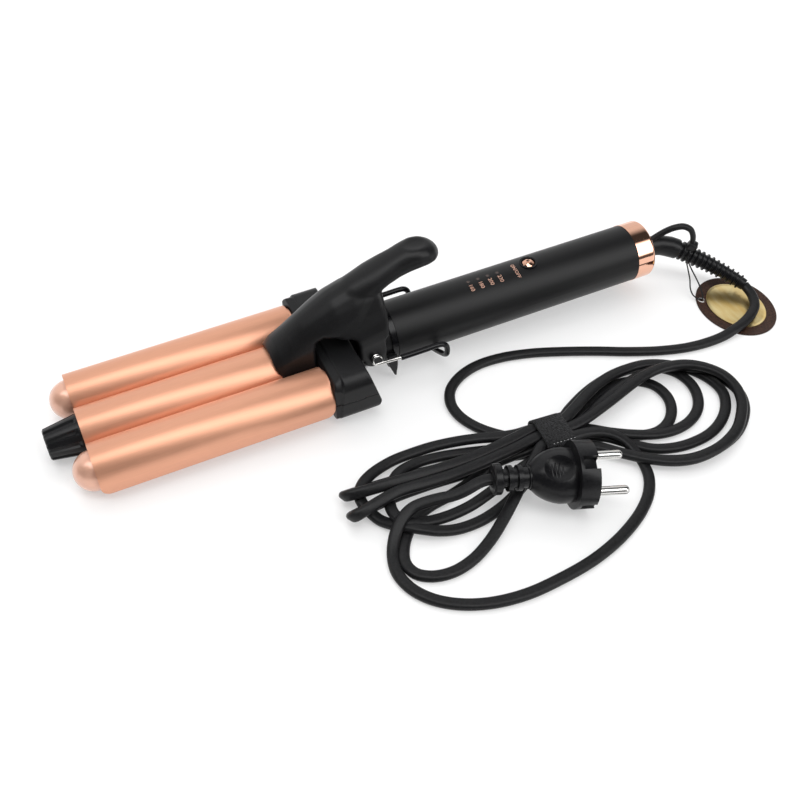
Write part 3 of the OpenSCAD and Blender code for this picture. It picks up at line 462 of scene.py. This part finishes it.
lobes = []
half = (PLATE_REAR - PLATE_FRONT) / 2
for y in (-PITCH, 0, PITCH):
    lobe = rod("lobe", ((PLATE_FRONT + PLATE_REAR) / 2, y, AXIS_Z), SHEET_R, 2 * half, 120, (0, 90, 0),
               end_fill_type="NOTHING")
    edit()
    cut((0, 0, -1), (0, 0, AXIS_Z if y else AXIS_Z + VALLEY))
    if y:
        cut((0, 0, -1), (0, 0, AXIS_Z + VALLEY), clear="neither")
        pick("FACE", lambda m, n: m.z < AXIS_Z + VALLEY and (m.y - y) * y < 0)
        bpy.ops.mesh.delete(type="FACE")
    leave()
    lobes.append(lobe)
plate = joined("plate_sheet", lobes)
edit()
for valley in (-PITCH / 2, PITCH / 2):
    pick("EDGE", lambda m, n: along(n) and abs(m.y - valley) < VALLEY_HALF and m.z < AXIS_Z + VALLEY + 0.1)
    bpy.ops.mesh.bridge_edge_loops()
pick("EDGE", lambda m, n: along(n) and abs(abs(m.y) - PITCH - SHEET_R) < 0.2 and m.z < AXIS_Z + 0.2)
bpy.ops.mesh.extrude_region_move(TRANSFORM_OT_translate={"value": (0, 0, (SKIRT_CORNER - SKIRT) * MM)})
fallen, back = 0.0, 0.0
for a in (math.pi / 2 * k / CORNER_STEPS for k in range(1, CORNER_STEPS + 1)):
    fall, shorter = SKIRT_CORNER * math.sin(a), SKIRT_CORNER * (1 - math.cos(a))
    bpy.ops.mesh.extrude_region_move(TRANSFORM_OT_translate={"value": (0, 0, (fallen - fall) * MM)})
    bpy.ops.transform.resize(value=((half - shorter) / (half - back), 1, 1),
                             center_override=((PLATE_FRONT + half) * MM, 0, 0))
    fallen, back = fall, shorter
pick("EDGE", lambda m, n: along(n) and abs(abs(m.y) - PITCH / 2) < VALLEY_HALF and m.z < AXIS_Z + VALLEY + 0.1)
bpy.ops.mesh.bevel(offset=VALLEY_BEND * MM, segments=4)
bpy.ops.mesh.select_all(action="SELECT")
bpy.ops.mesh.normals_make_consistent(inside=False)
leave()
applied(plate, "SOLIDIFY", thickness=SHEET * MM, offset=0)
bevelled(plate, 0.22, 2, 50)
finished(plate, satin_gold, "lever")
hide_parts("clamp_plate")

# ---- Cool tip --------------------------------------------------------------------------------------------
# A tapered grip moulded in black heat-proof plastic, with ten flutes that run out at its end. It is plugged
# into the middle barrel, so that the jaw can be held at its tip.

TIP_ROOT, TIP_LEN, BASE_R, END_R = -161.5, 19.0, 11.5, 8.6
FLUTES, FLUTE_START, FLUTE_DEPTH, FLUTE_HALF = 10, -164.5, 0.885, 0.2
tip = start(bpy.ops.mesh.primitive_cone_add, "cool_tip_grip", (TIP_ROOT - TIP_LEN / 2, 0, AXIS_Z), (0, -90, 0),
            vertices=FLUTES * 8, radius1=BASE_R * MM, radius2=END_R * MM, depth=TIP_LEN * MM)
edit()
for ring_x in (-163.6, -165.2, -167.5):
    cut((1, 0, 0), (ring_x, 0, 0), clear="neither")


def in_flute(m, n):
    """Whether a vertex of the grip's side is in the middle of a flute."""
    around = math.atan2(m.y, m.z - AXIS_Z) / math.tau * FLUTES
    return m.x < FLUTE_START and abs(around - round(around)) < FLUTE_HALF and math.hypot(m.y, m.z - AXIS_Z) > 4


pick("VERT", in_flute)
bpy.ops.transform.resize(value=(1, FLUTE_DEPTH, FLUTE_DEPTH), center_override=(0, 0, AXIS_Z * MM))
pick("FACE", lambda m, n: m.x < TIP_ROOT - TIP_LEN + 0.1)
stepped((0.9, -0.7), (2.6, 0.5), axis=0)
leave()
bevelled(tip, 0.3, 3, 22)
hot_black = finish("heat_proof_black", (0.007, 0.007, 0.008), 0.3, 1500, (0.12, 0.00006),
                   ((0.006, 0.006, 0.007), (0.01, 0.01, 0.011)), (0.26, 0.36))
finished(tip, hot_black, angle=40)
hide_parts("cool_tip")

# ---- Inside the barrels ----------------------------------------------------------------------------------
# A ceramic bar heater between two aluminium spreader halves in each barrel, the cut-out behind the middle
# one, the insulating sleeves round the barrel roots, and the wires that run back through the neck.

spreader = finish("spreader_aluminium", (0.62, 0.63, 0.64), 0.4, 900, (0.2, 0.0001), None, (0.35, 0.5), 1.0)
dress(spreader, "heater_near", "heater_middle", "heater_far")
filled = finish("glass_filled_sleeve", (0.76, 0.72, 0.63), 0.7, 1300, (0.3, 0.0001),
                ((0.7, 0.66, 0.57), (0.8, 0.76, 0.68)), (0.6, 0.8))
dress(filled, "insulating_sleeves", "thermostat", "cord_clamp")
dress(finish("wire_insulation", (0.44, 0.04, 0.03), 0.45, 700, (0.1, 0.00005), None, (0.4, 0.5)), "wiring")

# ---- Bracket ---------------------------------------------------------------------------------------------
# Two halves moulded in black heat-proof plastic and screwed together. They hold the roots of the three
# barrels in short collars, spread into wings at both sides, and end in the neck that the handle is pushed on.

VOXEL, SAME_POINT = 0.5, 0.002


def softened(name, node, rounds):
    """A moulded piece from its construction solid, with the small round edges that a mould leaves."""
    part = bpy.data.objects.new(name, nodes[node].data.copy())
    scene.collection.objects.link(part)
    only(part)
    edit()
    bpy.ops.mesh.select_all(action="SELECT")
    bpy.ops.mesh.remove_doubles(threshold=SAME_POINT * MM)
    leave()
    applied(part, "REMESH", mode="VOXEL", voxel_size=VOXEL * MM, use_smooth_shade=True)
    applied(part, "SMOOTH", factor=0.5, iterations=rounds)
    return part


moulded = finish("moulded_black", (0.007, 0.007, 0.008), 0.36, 1800, (0.1, 0.00005),
                 ((0.006, 0.006, 0.0065), (0.0095, 0.0095, 0.0105)), (0.34, 0.42))
for name in ("upper", "lower"):
    shell = softened(f"bracket_{name}_half", f"bracket_{name}", 2)
    finished(shell, moulded, lying=False, angle=180)
    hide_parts(f"bracket_{name}")

screw_steel = finish("zinc_plated_steel", (0.5, 0.5, 0.51), 0.34, 800, (0.1, 0.00005), None, (0.28, 0.42), 1.0)
dress(screw_steel, "bracket_screws", "handle_screws", "plate_rivets", "lever_spring")

# ---- Lever -----------------------------------------------------------------------------------------------
# One moulding in black plastic: a tongue riveted to the plate, a saddle that straddles the bracket with an
# ear on each side of the neck, and an arm that ends in an oval paddle with a dish for the thumb. It's fuller
# than its construction solid: what lies above its middle rises, and what lies below it drops, in millimetres.

SPINE = ((-58, 24, 0.3, 0), (-53, 25, 3.2, 0), (-46, 26, 4.8, 0), (-38, 29, 3.8, 0), (-28, 34, 2.9, 0),
         (-9, 48, 2.0, 0), (4, 61, 1.1, 0), (15, 67, 1.2, 0.8), (25, 70, 0.8, 1.0), (43, 69, 0.2, 0.2),
         (60, 69, 0, 0))    # x, the middle's height, rise, drop
SPINE_BLEND, LEVER_SWELL = 4, 0.6
arm = softened("lever_moulding", "lever", 40)
UPRIGHT = LYING.inverted()
for v in arm.data.vertices:
    at = UPRIGHT @ v.co / MM
    one, two = next((p, q) for p, q in zip(SPINE, SPINE[1:]) if at.x < q[0] or q is SPINE[-1])
    t = max(0, (at.x - one[0]) / (two[0] - one[0]))
    middle, lift, drop = (a + (b - a) * t for a, b in zip(one[1:], two[1:]))
    above, below = (min(max(height, 0) / SPINE_BLEND, 1) for height in (at.z - middle, middle - at.z))
    v.co.z += (lift * above - drop * below) * MM
applied(arm, "DISPLACE", strength=LEVER_SWELL * MM, mid_level=0)
finished(arm, moulded, "lever", lying=False, angle=180)
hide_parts("lever")

# ---- Pivot pin and stand ---------------------------------------------------------------------------------
# A steel pin runs through the neck and the lever's ears. The stand is one spring-steel wire, wound round the
# pin at both ends, spread over the handle's width and hooked down at its bow, with a soft black sleeve on it.

PIVOT_X, PIVOT_Z = -2.4, 23.6
WIRE_R, SLEEVE_R, LEG_Y, KNEE = 0.9, 1.6, 26.0, 5.0
COIL_R, COIL_Y, COIL_WIDE, COIL_TURNS, COIL_START, COIL_STEPS = 2.5, 20.4, 2.1, 1.6, 0.85, 30


def skinned(name, line, profile, sides=20, flat=1.0):
    """A closed skin of rings along a line of points, with the profile's radius at each run (mm) of it."""
    run, side, frames = [0.0], None, []
    for i, point in enumerate(line):
        heading = heading_at(line, i)
        if side is None:
            side = Vector((0, 0, 1)).cross(heading) if abs(heading.z) < 0.9 else Vector((0, 1, 0)).cross(heading)
        side = (side - heading * side.dot(heading)).normalized()
        frames.append((point, side, heading.cross(side)))
        if i:
            run.append(run[-1] + (point - line[i - 1]).length)
    rings, i = [], 0
    for where, radius in profile:
        where = min(max(where * MM, 0), run[-1])
        while i < len(run) - 2 and run[i + 1] < where:
            i += 1
        t = (where - run[i]) / (run[i + 1] - run[i])
        point, across, rise = (a.lerp(b, t) for a, b in zip(frames[i], frames[i + 1]))
        across, rise = across.normalized(), rise.normalized()
        rings.append([point + (across * math.cos(a) + rise * math.sin(a) * flat) * radius * MM
                      for a in (math.tau * k / sides for k in range(sides))])
    return skin(name, rings)


def even(line, radius, step, nose_len):
    """A profile of one radius along a line, with half-round ends, in millimetres."""
    total = length_of(line)
    steps = max(2, round(total / step))
    nose = [(nose_len * (1 - math.cos(a)), radius * max(0.05, math.sin(a)))
            for a in (math.pi / 2 * k / 5 for k in range(5))]
    inner = [total * k / steps for k in range(steps + 1)]
    inner = [(run, radius) for run in inner if nose_len < run < total - nose_len]
    return nose + inner + [(total - run, r) for run, r in reversed(nose)]


def half_of_stand(s):
    """The route of the wire on one side, as its coil and as its leg with the knee and the hook."""
    coil = []
    for k in range(COIL_STEPS + 1):
        a = math.tau * (COIL_TURNS * k / COIL_STEPS - COIL_START)
        coil.append((PIVOT_X + COIL_R * math.cos(a), s * (COIL_Y + COIL_WIDE * k / COIL_STEPS),
                     PIVOT_Z + COIL_R * math.sin(a)))
    leg = [(PIVOT_X + 1.6, s * 22.9, PIVOT_Z - 2.5), (PIVOT_X + 4.4, s * 23.6, PIVOT_Z - 1.9),
           (PIVOT_X + 8.5, s * (LEG_Y - 1), PIVOT_Z - 0.7), (PIVOT_X + 12.5, s * LEG_Y, PIVOT_Z),
           (PIVOT_X + 20, s * LEG_Y, PIVOT_Z), (PIVOT_X + 28, s * LEG_Y, PIVOT_Z)]
    knee = [(BOW_X - KNEE + KNEE * math.sin(a), s * LEG_Y, PIVOT_Z - KNEE * (1 - math.cos(a)))
            for a in (math.pi / 2 * k / 4 for k in range(5))]
    hook = [(BOW_X, s * y, z) for y, z in ((25.6, 14.6), (23, 11.6), (18.6, 8.9), (12.8, 5.6), (6.5, 2.7))]
    return coil, leg + knee + hook


near_coil, near_leg = half_of_stand(-1)
far_coil, far_leg = half_of_stand(1)
bow = [(BOW_X, 0, SLEEVE_R)]
wire_line = [LYING @ p for p in smooth_line(near_coil + near_leg + bow + far_leg[::-1] + far_coil[::-1], 0.8)]
stand = skinned("stand_spring_wire", wire_line, even(wire_line, WIRE_R, 0.6, 0.5), 14)
chrome = finish("bright_steel", (0.78, 0.77, 0.75), 0.16, 900, (0.06, 0.00003), None, (0.13, 0.22), 1.0)
finished(stand, chrome, "stand", lying=False, angle=50)
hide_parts("stand_wire")
dress(chrome, "pivot_pin", "plug_pins")
dress(moulded, "pin_clips")

sleeve_line = [LYING @ p for p in smooth_line(near_leg[3:] + bow + far_leg[3:][::-1], 0.8)]
sleeve = skinned("stand_soft_sleeve", sleeve_line, even(sleeve_line, SLEEVE_R, 0.8, 0.4), 18)
glossy = finish("glossy_black_sleeve", (0.005, 0.005, 0.006), 0.2, 700, (0.08, 0.00005), None, (0.16, 0.26))
finished(sleeve, glossy, "stand", lying=False, angle=60)
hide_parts("stand_sleeve")

# ---- Handle ----------------------------------------------------------------------------------------------
# Two half shells moulded in black plastic with a soft satin coat, pushed over the neck and screwed from
# below. A glossy black ring closes the front, and a polished metal ring closes the rear.

HANDLE_Z, HANDLE_R, HANDLE_TOP = 20.5, 17.0, 37.5
coated = finish("satin_coated_black", (0.006, 0.006, 0.0065), 0.4, 2600, (0.08, 0.00004),
                ((0.005, 0.005, 0.0055), (0.0075, 0.0075, 0.008)), (0.36, 0.43))
dress(coated, "handle_upper_shell", "handle_lower_shell")
collar = finish("collar_gloss_black", (0.005, 0.005, 0.006), 0.16, 600, (0.05, 0.00003), None, (0.12, 0.2))
dress(collar, "front_collar", "button_bezel")
dress(bright_gold, "end_ring", "power_button")
bush = finish("bush_black", (0.014, 0.014, 0.015), 0.45, 900, (0.15, 0.00006), None, (0.38, 0.52))
dress(bush, "end_gland", "button_switch")
board_green = finish("board_green", (0.03, 0.14, 0.05), 0.4, 400, (0.1, 0.00005),
                     ((0.025, 0.12, 0.04), (0.04, 0.17, 0.06)), (0.35, 0.5))
dress(board_green, "control_board")

# ---- Button, lamps and their numbers ---------------------------------------------------------------------
# The power button is a faceted cap of metallised plastic in a black bezel. Four small lamps show the chosen
# heat, and the numbers beside them are foil stamped in rose gold.

BUTTON_X, CAP_TOP, CAP_R, CAP_TALL, HALF_FACET = 103.5, HANDLE_TOP + 1.1, 3.95, 4.4, 22.5
LAMP_X, LAMP_STEP, NUMBER_Y, NUMBER_SIZE = 64.5, 6.2, -4.6, 2.3
WORD_X, WORD_Y, WORD_SIZE, FOIL_LIFT = 93.8, -2.6, 2.1, 0.05

cap = rod("button_cap", (BUTTON_X, 0, CAP_TOP - 3.6), CAP_R, CAP_TALL, 8, (0, 0, 14))
edit()
pick("FACE", lambda m, n: n.z > 0.9)
for step in ((1.1, 0.9), (1.2, 0.5)):
    stepped(step)
    bpy.ops.transform.rotate(value=math.radians(HALF_FACET), orient_axis="Z", center_override=(BUTTON_X * MM, 0, 0))
bpy.ops.mesh.poke(offset=-0.5 * MM)
bpy.ops.mesh.select_all(action="SELECT")
bpy.ops.mesh.quads_convert_to_tris()
leave()
bevelled(cap, 0.06, 1, 40)
finished(cap, bright_gold, "button", angle=4)
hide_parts("power_button")

dress(finish("smoked_lamp_lens", (0.05, 0.035, 0.03), 0.25, 600, (0.05, 0.00003), None, (0.2, 0.3)), "lamp_lenses")


def stamped(words, x, y, height):
    """Foil letters across the handle, bent over its round at the line where they are stamped."""
    bpy.ops.object.select_all(action="DESELECT")
    bpy.ops.object.text_add()
    label = bpy.context.object
    label.data.body = words
    label.data.align_x, label.data.align_y = "CENTER", "CENTER"
    label.data.size = height * 1.4 * MM
    label.data.extrude, label.data.offset = 0.04 * MM, 0.03 * MM
    label.data.resolution_u = 4
    bpy.ops.object.convert(target="MESH")
    label.data.transform(Matrix.Rotation(math.radians(-90), 4, "Z"))
    for v in label.data.vertices:
        around = math.asin(y / HANDLE_R) + v.co.y / (HANDLE_R * MM)
        out = (HANDLE_R + FOIL_LIFT) * MM + v.co.z
        v.co = (x * MM + v.co.x, out * math.sin(around), HANDLE_Z * MM + out * math.cos(around))
    return label


labels = [stamped(words, LAMP_X + LAMP_STEP * i, NUMBER_Y, NUMBER_SIZE)
          for i, words in enumerate(("160", "180", "200", "230"))]
labels.append(stamped("ON/OFF", WORD_X, WORD_Y, WORD_SIZE))
foil = finish("rose_gold_foil", (0.83, 0.5, 0.38), 0.36, 1500, (0.1, 0.00003),
              ((0.78, 0.45, 0.33), (0.88, 0.56, 0.44)), (0.3, 0.45), 0.75)
finished(joined("stamped_numbers", labels), foil, angle=30)

# ---- Boot and hanging loop -------------------------------------------------------------------------------
# The boot is moulded onto the lead in soft black PVC: a smooth neck in the ring's bush, then thin rings on a
# tapering core, which keep the lead from kinking. A strap on its back bends over into a knob, as a loop.

boot_route = [(181.5, 0, 25.3), (190, -0.5, 25), (198, -3, 24), (206, -7.5, 21.5), (213, -12.5, 18),
              (220, -18, 14.8), (226.5, -24.5, 11.6), (232, -31.5, 9), (236, -38.5, 7)]
boot_line = smooth_line(boot_route, 0.8)
boot_length = length_of(boot_line)
RIB_START, RIBS, TAPER = 27.5, 13, 0.24
RIB = ((-0.1, 4.6), (0.1, 5.5), (0.35, 5.9), (1.0, 5.9), (1.25, 5.5), (1.45, 4.6))
boot_rows = [(0, 5.9), (6, 5.9), (14, 6.1), (20, 6.3), (24.5, 6.2), (25.4, 5.9), (25.8, 4.9)]
for k in range(RIBS):
    base = RIB_START + k * (boot_length - RIB_START - 1) / RIBS
    boot_rows += [(base + run, r * (1 - TAPER * k / RIBS)) for run, r in RIB]
boot = skinned("ringed_boot", boot_line, boot_rows + [(boot_length, 3.5)], 32)
soft_pvc = finish("soft_black_pvc", (0.008, 0.008, 0.009), 0.34, 1100, (0.14, 0.00008),
                  ((0.007, 0.007, 0.008), (0.011, 0.011, 0.012)), (0.28, 0.42))
finished(boot, soft_pvc, lying=False, angle=40)
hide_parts("cord_boot")

loop_route = [(186.5, -0.5, 28.2), (191, -1.1, 31.4), (196.5, -2.6, 35.2), (201, -4.8, 38), (205.5, -7.3, 39.2),
              (209.2, -9.8, 37.4), (211, -11.2, 33), (211.3, -11.8, 27), (211.3, -12.2, 21)]
loop_line = smooth_line(loop_route, 0.8)
STRAP_R, STRAP_FLAT, KNOB = 2.15, 0.8, 5.8
strap = skinned("loop_strap", loop_line, even(loop_line, STRAP_R, 0.9, 0.6), 20, STRAP_FLAT)
knob = start(bpy.ops.mesh.primitive_cube_add, "loop_knob", (211.3, -12, 26), (8, 24, -38), size=KNOB * MM)
bevelled(knob, 1.1, 4, 30)
hanger = joined("hanging_strap", [strap, knob])
finished(hanger, soft_pvc, lying=False, angle=50)
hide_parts("hanging_loop")

# ---- Tag -------------------------------------------------------------------------------------------------
# An oval swing tag of brown grained board with a gold foil disc in a raised rim, hung on a thin twisted cord
# that runs from the boot through a small eyelet. It lies flat on the table under the lead.

TAG_X, TAG_Y, TAG_HALF, TAG_T = 225.0, -47.0, (22.5, 27), 1.0
DISC_HALF, DISC_T, EYELET_R, EYELET_WIRE = (16.5, 20.3), 0.5, 1.7, 0.5
eyelet_at = (TAG_X - 16.4, TAG_Y + 12.6, 1.05)


def scaled(part, factors, about=(0, 0, 0)):
    """Stretches a piece about a point in millimetres."""
    centre = Matrix.Translation(Vector(about) * MM)
    part.data.transform(centre @ Matrix.Diagonal((*factors, 1)) @ centre.inverted())
    return part


def oval(name, half, low, thick, *steps):
    """An oval disc in the tag's place, with its top face in steps."""
    at = (TAG_X, TAG_Y, low + thick / 2)
    disc = scaled(rod(name, at, half[0], thick, 96), (1, half[1] / half[0], 1), at)
    edit()
    pick("FACE", lambda m, n: n.z > 0.9)
    stepped(*steps)
    leave()
    return disc


tag = oval("tag_card", TAG_HALF, 0, TAG_T, (0.5, 0), (0.35, -0.12))
bevelled(tag, 0.15, 2, 40)
grained = finish("brown_grained_board", (0.028, 0.012, 0.008), 0.5, 900, (0.5, 0.0002),
                 ((0.016, 0.007, 0.005), (0.055, 0.025, 0.016)), (0.45, 0.65), detail=5)
finished(tag, grained, lying=False)
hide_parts("tag_board")

disc = oval("tag_foil_disc", DISC_HALF, 0.9, DISC_T, (0.9, -0.22), (0.8, 0), (0.5, 0.12))
bevelled(disc, 0.08, 2, 25)
gold_foil = finish("brushed_gold_foil", (0.88, 0.68, 0.3), 0.3, 160, (0.1, 0.00006),
                   ((0.8, 0.56, 0.2), (0.95, 0.78, 0.4)), (0.22, 0.4), 0.95, (1, 0.3, 1))
finished(disc, gold_foil, lying=False)
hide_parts("tag_disc")

eyelet = start(bpy.ops.mesh.primitive_torus_add, "tag_ring", eyelet_at, major_radius=EYELET_R * MM,
               minor_radius=EYELET_WIRE * MM, major_segments=40, minor_segments=14)
scaled(eyelet, (1, 1, 0.7), eyelet_at)
finished(eyelet, chrome, lying=False, angle=60)
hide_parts("tag_eyelet")

STRING_R = 0.42
string_route = [(206.5, -14.2, 21), (206.8, -15.4, 18), (207.4, -18, 13), (207.0, -22, 8.5), (205.4, -26, 5),
                (205.0, -30, 3), (206.4, -33, 2.1), (208.2, -34.3, 1.9), (209.6, -34.0, 2.2),
                (210.6, -31.5, 3.6), (210.8, -27.5, 6.5), (210.2, -23, 10), (209.2, -19, 13.5),
                (208.2, -16.3, 17), (207.9, -14.6, 20.4)]
string_line = smooth_line(string_route, 0.6)
string = skinned("tag_cord", string_line, even(string_line, STRING_R, 0.6, 0.3), 10)
twist = finish("waxed_black_string", (0.012, 0.012, 0.012), 0.55, 3000, (0.4, 0.0001),
               ((0.008, 0.008, 0.008), (0.022, 0.022, 0.022)), (0.45, 0.7))
finished(string, twist, lying=False, angle=60)
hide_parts("tag_string")

# ---- Tie -------------------------------------------------------------------------------------------------
# A band of black hook-and-loop tape round the hank's waist. Its free end laps over the top and stops at the
# near shoulder, where it's edged with a row of white stitches.

TIE_X, TIE_Y, TIE_TURN = 64.0, -100.0, -3.0
BAND_W, BAND_HALF, BAND_TOP, BAND_T, BAND_LOW, SHOULDER = 8, 12.6, 13.8, 1.1, 0.6, 6.4
FLAP_W, FLAP_SHOULDER, FLAP_END, FLAP_START = 8.2, 7, -11, 8.5
STITCHES, STITCH_STEP, STITCH_TILT, FIRST_STITCH = 7, 2.0, 25, (-4.6, -9.9, 14.25)
STITCH_R, STITCH_SHAPE = 0.42, (1.7, 0.6, 1)


def block(name, at, half):
    """A box of a given place and half size in millimetres."""
    return scaled(start(bpy.ops.mesh.primitive_cube_add, name, at, size=2 * MM), half, at)


band = block("tie_band", (0, 0, (BAND_TOP + BAND_LOW) / 2), (BAND_W, BAND_HALF, (BAND_TOP - BAND_LOW) / 2))
edit()
pick("FACE", lambda m, n: abs(n.x) > 0.9)
bpy.ops.mesh.delete(type="FACE")
pick("EDGE", lambda m, n: abs(n.x) > 0.9)
bpy.ops.mesh.bevel(offset=SHOULDER * MM, segments=12)
leave()
applied(band, "SOLIDIFY", thickness=BAND_T * MM, offset=0)
flap_half = (BAND_TOP + BAND_T) / 2
flap = block("tie_flap", (0, 0, flap_half), (FLAP_W, BAND_HALF + BAND_T, flap_half))
edit()
pick("FACE", lambda m, n: abs(n.x) > 0.9 or n.z < -0.9 or n.y > 0.9)
bpy.ops.mesh.delete(type="FACE")
pick("EDGE", lambda m, n: abs(n.x) > 0.9 and m.z > 5 and m.y < 0)
bpy.ops.mesh.bevel(offset=FLAP_SHOULDER * MM, segments=12)
cut((0, 1, 0), (0, FLAP_END, 0), clear="inner")
cut((0, 1, 0), (0, FLAP_START, 0))
leave()
applied(flap, "SOLIDIFY", thickness=BAND_T * 0.9 * MM, offset=0)
tie_band = joined("hook_and_loop_tie", [band, flap])
bevelled(tie_band, 0.25, 2, 50)
tie_place = Matrix.Translation((TIE_X * MM, TIE_Y * MM, 0)) @ Matrix.Rotation(math.radians(TIE_TURN), 4, "Z")
tie_band.data.transform(tie_place)
napped = finish("napped_black_tape", (0.012, 0.012, 0.013), 0.95, 1600, (0.9, 0.0005),
                ((0.003, 0.003, 0.003), (0.03, 0.03, 0.032)), (0.85, 1.0), detail=6,
                extra=(("Sheen Weight", 0.2), ("Sheen Roughness", 0.4)))
finished(tie_band, napped, lying=False)
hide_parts("cord_tie")

stitches = []
for k in range(STITCHES):
    stitch = start(bpy.ops.mesh.primitive_uv_sphere_add, "stitch", segments=12, ring_count=8, radius=STITCH_R * MM)
    at = Matrix.Translation((Vector(FIRST_STITCH) + Vector((STITCH_STEP * k, 0, 0))) * MM)
    tilt = Matrix.Rotation(math.radians(STITCH_TILT), 4, "X")
    scaled(stitch, STITCH_SHAPE).data.transform(tie_place @ at @ tilt)
    stitches.append(stitch)
thread = finish("white_thread", (0.75, 0.75, 0.74), 0.7, 4000, (0.4, 0.0001),
                ((0.6, 0.6, 0.6), (0.82, 0.82, 0.81)), (0.6, 0.8))
finished(joined("tie_stitches", stitches), thread, lying=False, angle=60)

# ---- Plug ------------------------------------------------------------------------------------------------
# A two-pin plug moulded onto the lead's end in glossy black PVC: a round face with a notch on both sides, a
# grip with a ribbed oval hollow, and a relief of rings that ends in a flange.

PLUG_AT, PLUG_TURN = (63.2, -137, 17.8), (20.6, 4.5, -16.2)
FACE_R, FACE_T, GRIP_START, GRIP_R, GRIP_HIGH = 17.5, 9.8, -11.0, 14, 0.84
GRIP_ROWS = ((-14, 1.03, 1.02), (-17.5, 1.0, 1.0), (-20.5, 0.95, 0.97), (-23.5, 0.92, 0.94), (-26, 0.89, 0.91),
             (-28.5, 0.84, 0.87), (-30.2, 0.8, 0.84), (-31.5, 0.86, 0.86))    # x, wider by, higher by
HOLLOW_AT, HOLLOW_R, HOLLOW_OVAL = (-19.5, 21.5), 14, 0.86
RIB_X, RIB_GAP, RIB_HALVES = -23.4, 1.8, (4.6, 5.6, 6.0, 5.8, 5.0)
plug_place = Matrix.Translation([v * MM for v in PLUG_AT])
for amount, axis in zip(PLUG_TURN[::-1], "ZYX"):
    plug_place = plug_place @ Matrix.Rotation(math.radians(amount), 4, axis)


def carved(part, tool):
    """Cuts a tool's shape out of a piece, and deletes the tool."""
    applied(part, "BOOLEAN", operation="DIFFERENCE", object=tool, solver="EXACT")
    bpy.data.objects.remove(tool)


face = rod("plug_face", (-FACE_T / 2, 0, 0), FACE_R, FACE_T, 96, (0, 90, 0))
for s in (-1, 1):
    carved(face, block("notch", (-2, 0, s * 15.2), (6, 3.4, 3.2)))
    carved(face, block("rail", (-2.5, s * 17.6, 0), (5, 1.4, 2.6)))
bevelled(face, 0.45, 3, 40)

grip = scaled(rod("plug_grip", (-10.4, 0, 0), GRIP_R, 1.2, 64, (0, 90, 0)), (1, 1, GRIP_HIGH))
edit()
pick("FACE", lambda m, n: n.x < -0.9)
back = GRIP_START
for x, wide, high in GRIP_ROWS:
    bpy.ops.mesh.extrude_region_move(TRANSFORM_OT_translate={"value": ((x - back) * MM, 0, 0)})
    bpy.ops.transform.resize(value=(1, wide, high), center_override=(0, 0, 0))
    back = x
leave()
for s in (-1, 1):
    at = (HOLLOW_AT[0], 0, s * HOLLOW_AT[1])
    hollow = start(bpy.ops.mesh.primitive_uv_sphere_add, "hollow", at, segments=64, ring_count=32,
                   radius=HOLLOW_R * MM)
    carved(grip, scaled(hollow, (HOLLOW_OVAL, HOLLOW_OVAL, 1), at))
bevelled(grip, 0.5, 3, 24)
parts = [face, grip]
for s in (-1, 1):
    for k, rib_half in enumerate(RIB_HALVES):
        rib = block("rib", (RIB_X + RIB_GAP * k, 0, s * 7.0), (0.45, rib_half, 1.3))
        bevelled(rib, 0.3, 2, 30)
        parts.append(rib)
relief_axis = [Vector((x * MM, 0, 0)) for x in range(-29, -52, -1)]
relief_rows = [(0, 5.9), (3.4, 5.9), (3.8, 5.2), (6.7, 5.2), (6.8, 6.6), (9.2, 6.6), (9.3, 5.0), (11.7, 5.0),
               (11.8, 6.6), (14.2, 6.6), (14.3, 4.9), (17.2, 4.9), (17.3, 7.5), (17.8, 8.0), (21.0, 8.0),
               (21.6, 7.2), (21.8, 4.4), (22, 4.2)]
parts.append(skinned("relief", relief_axis, relief_rows, 40))
plug = joined("moulded_plug", parts)
plug.data.transform(plug_place)
plug_black = finish("plug_black_pvc", (0.006, 0.006, 0.007), 0.28, 900, (0.12, 0.00006),
                    ((0.005, 0.005, 0.006), (0.009, 0.009, 0.01)), (0.24, 0.36))
finished(plug, plug_black, lying=False, angle=30)
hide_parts("plug_body")
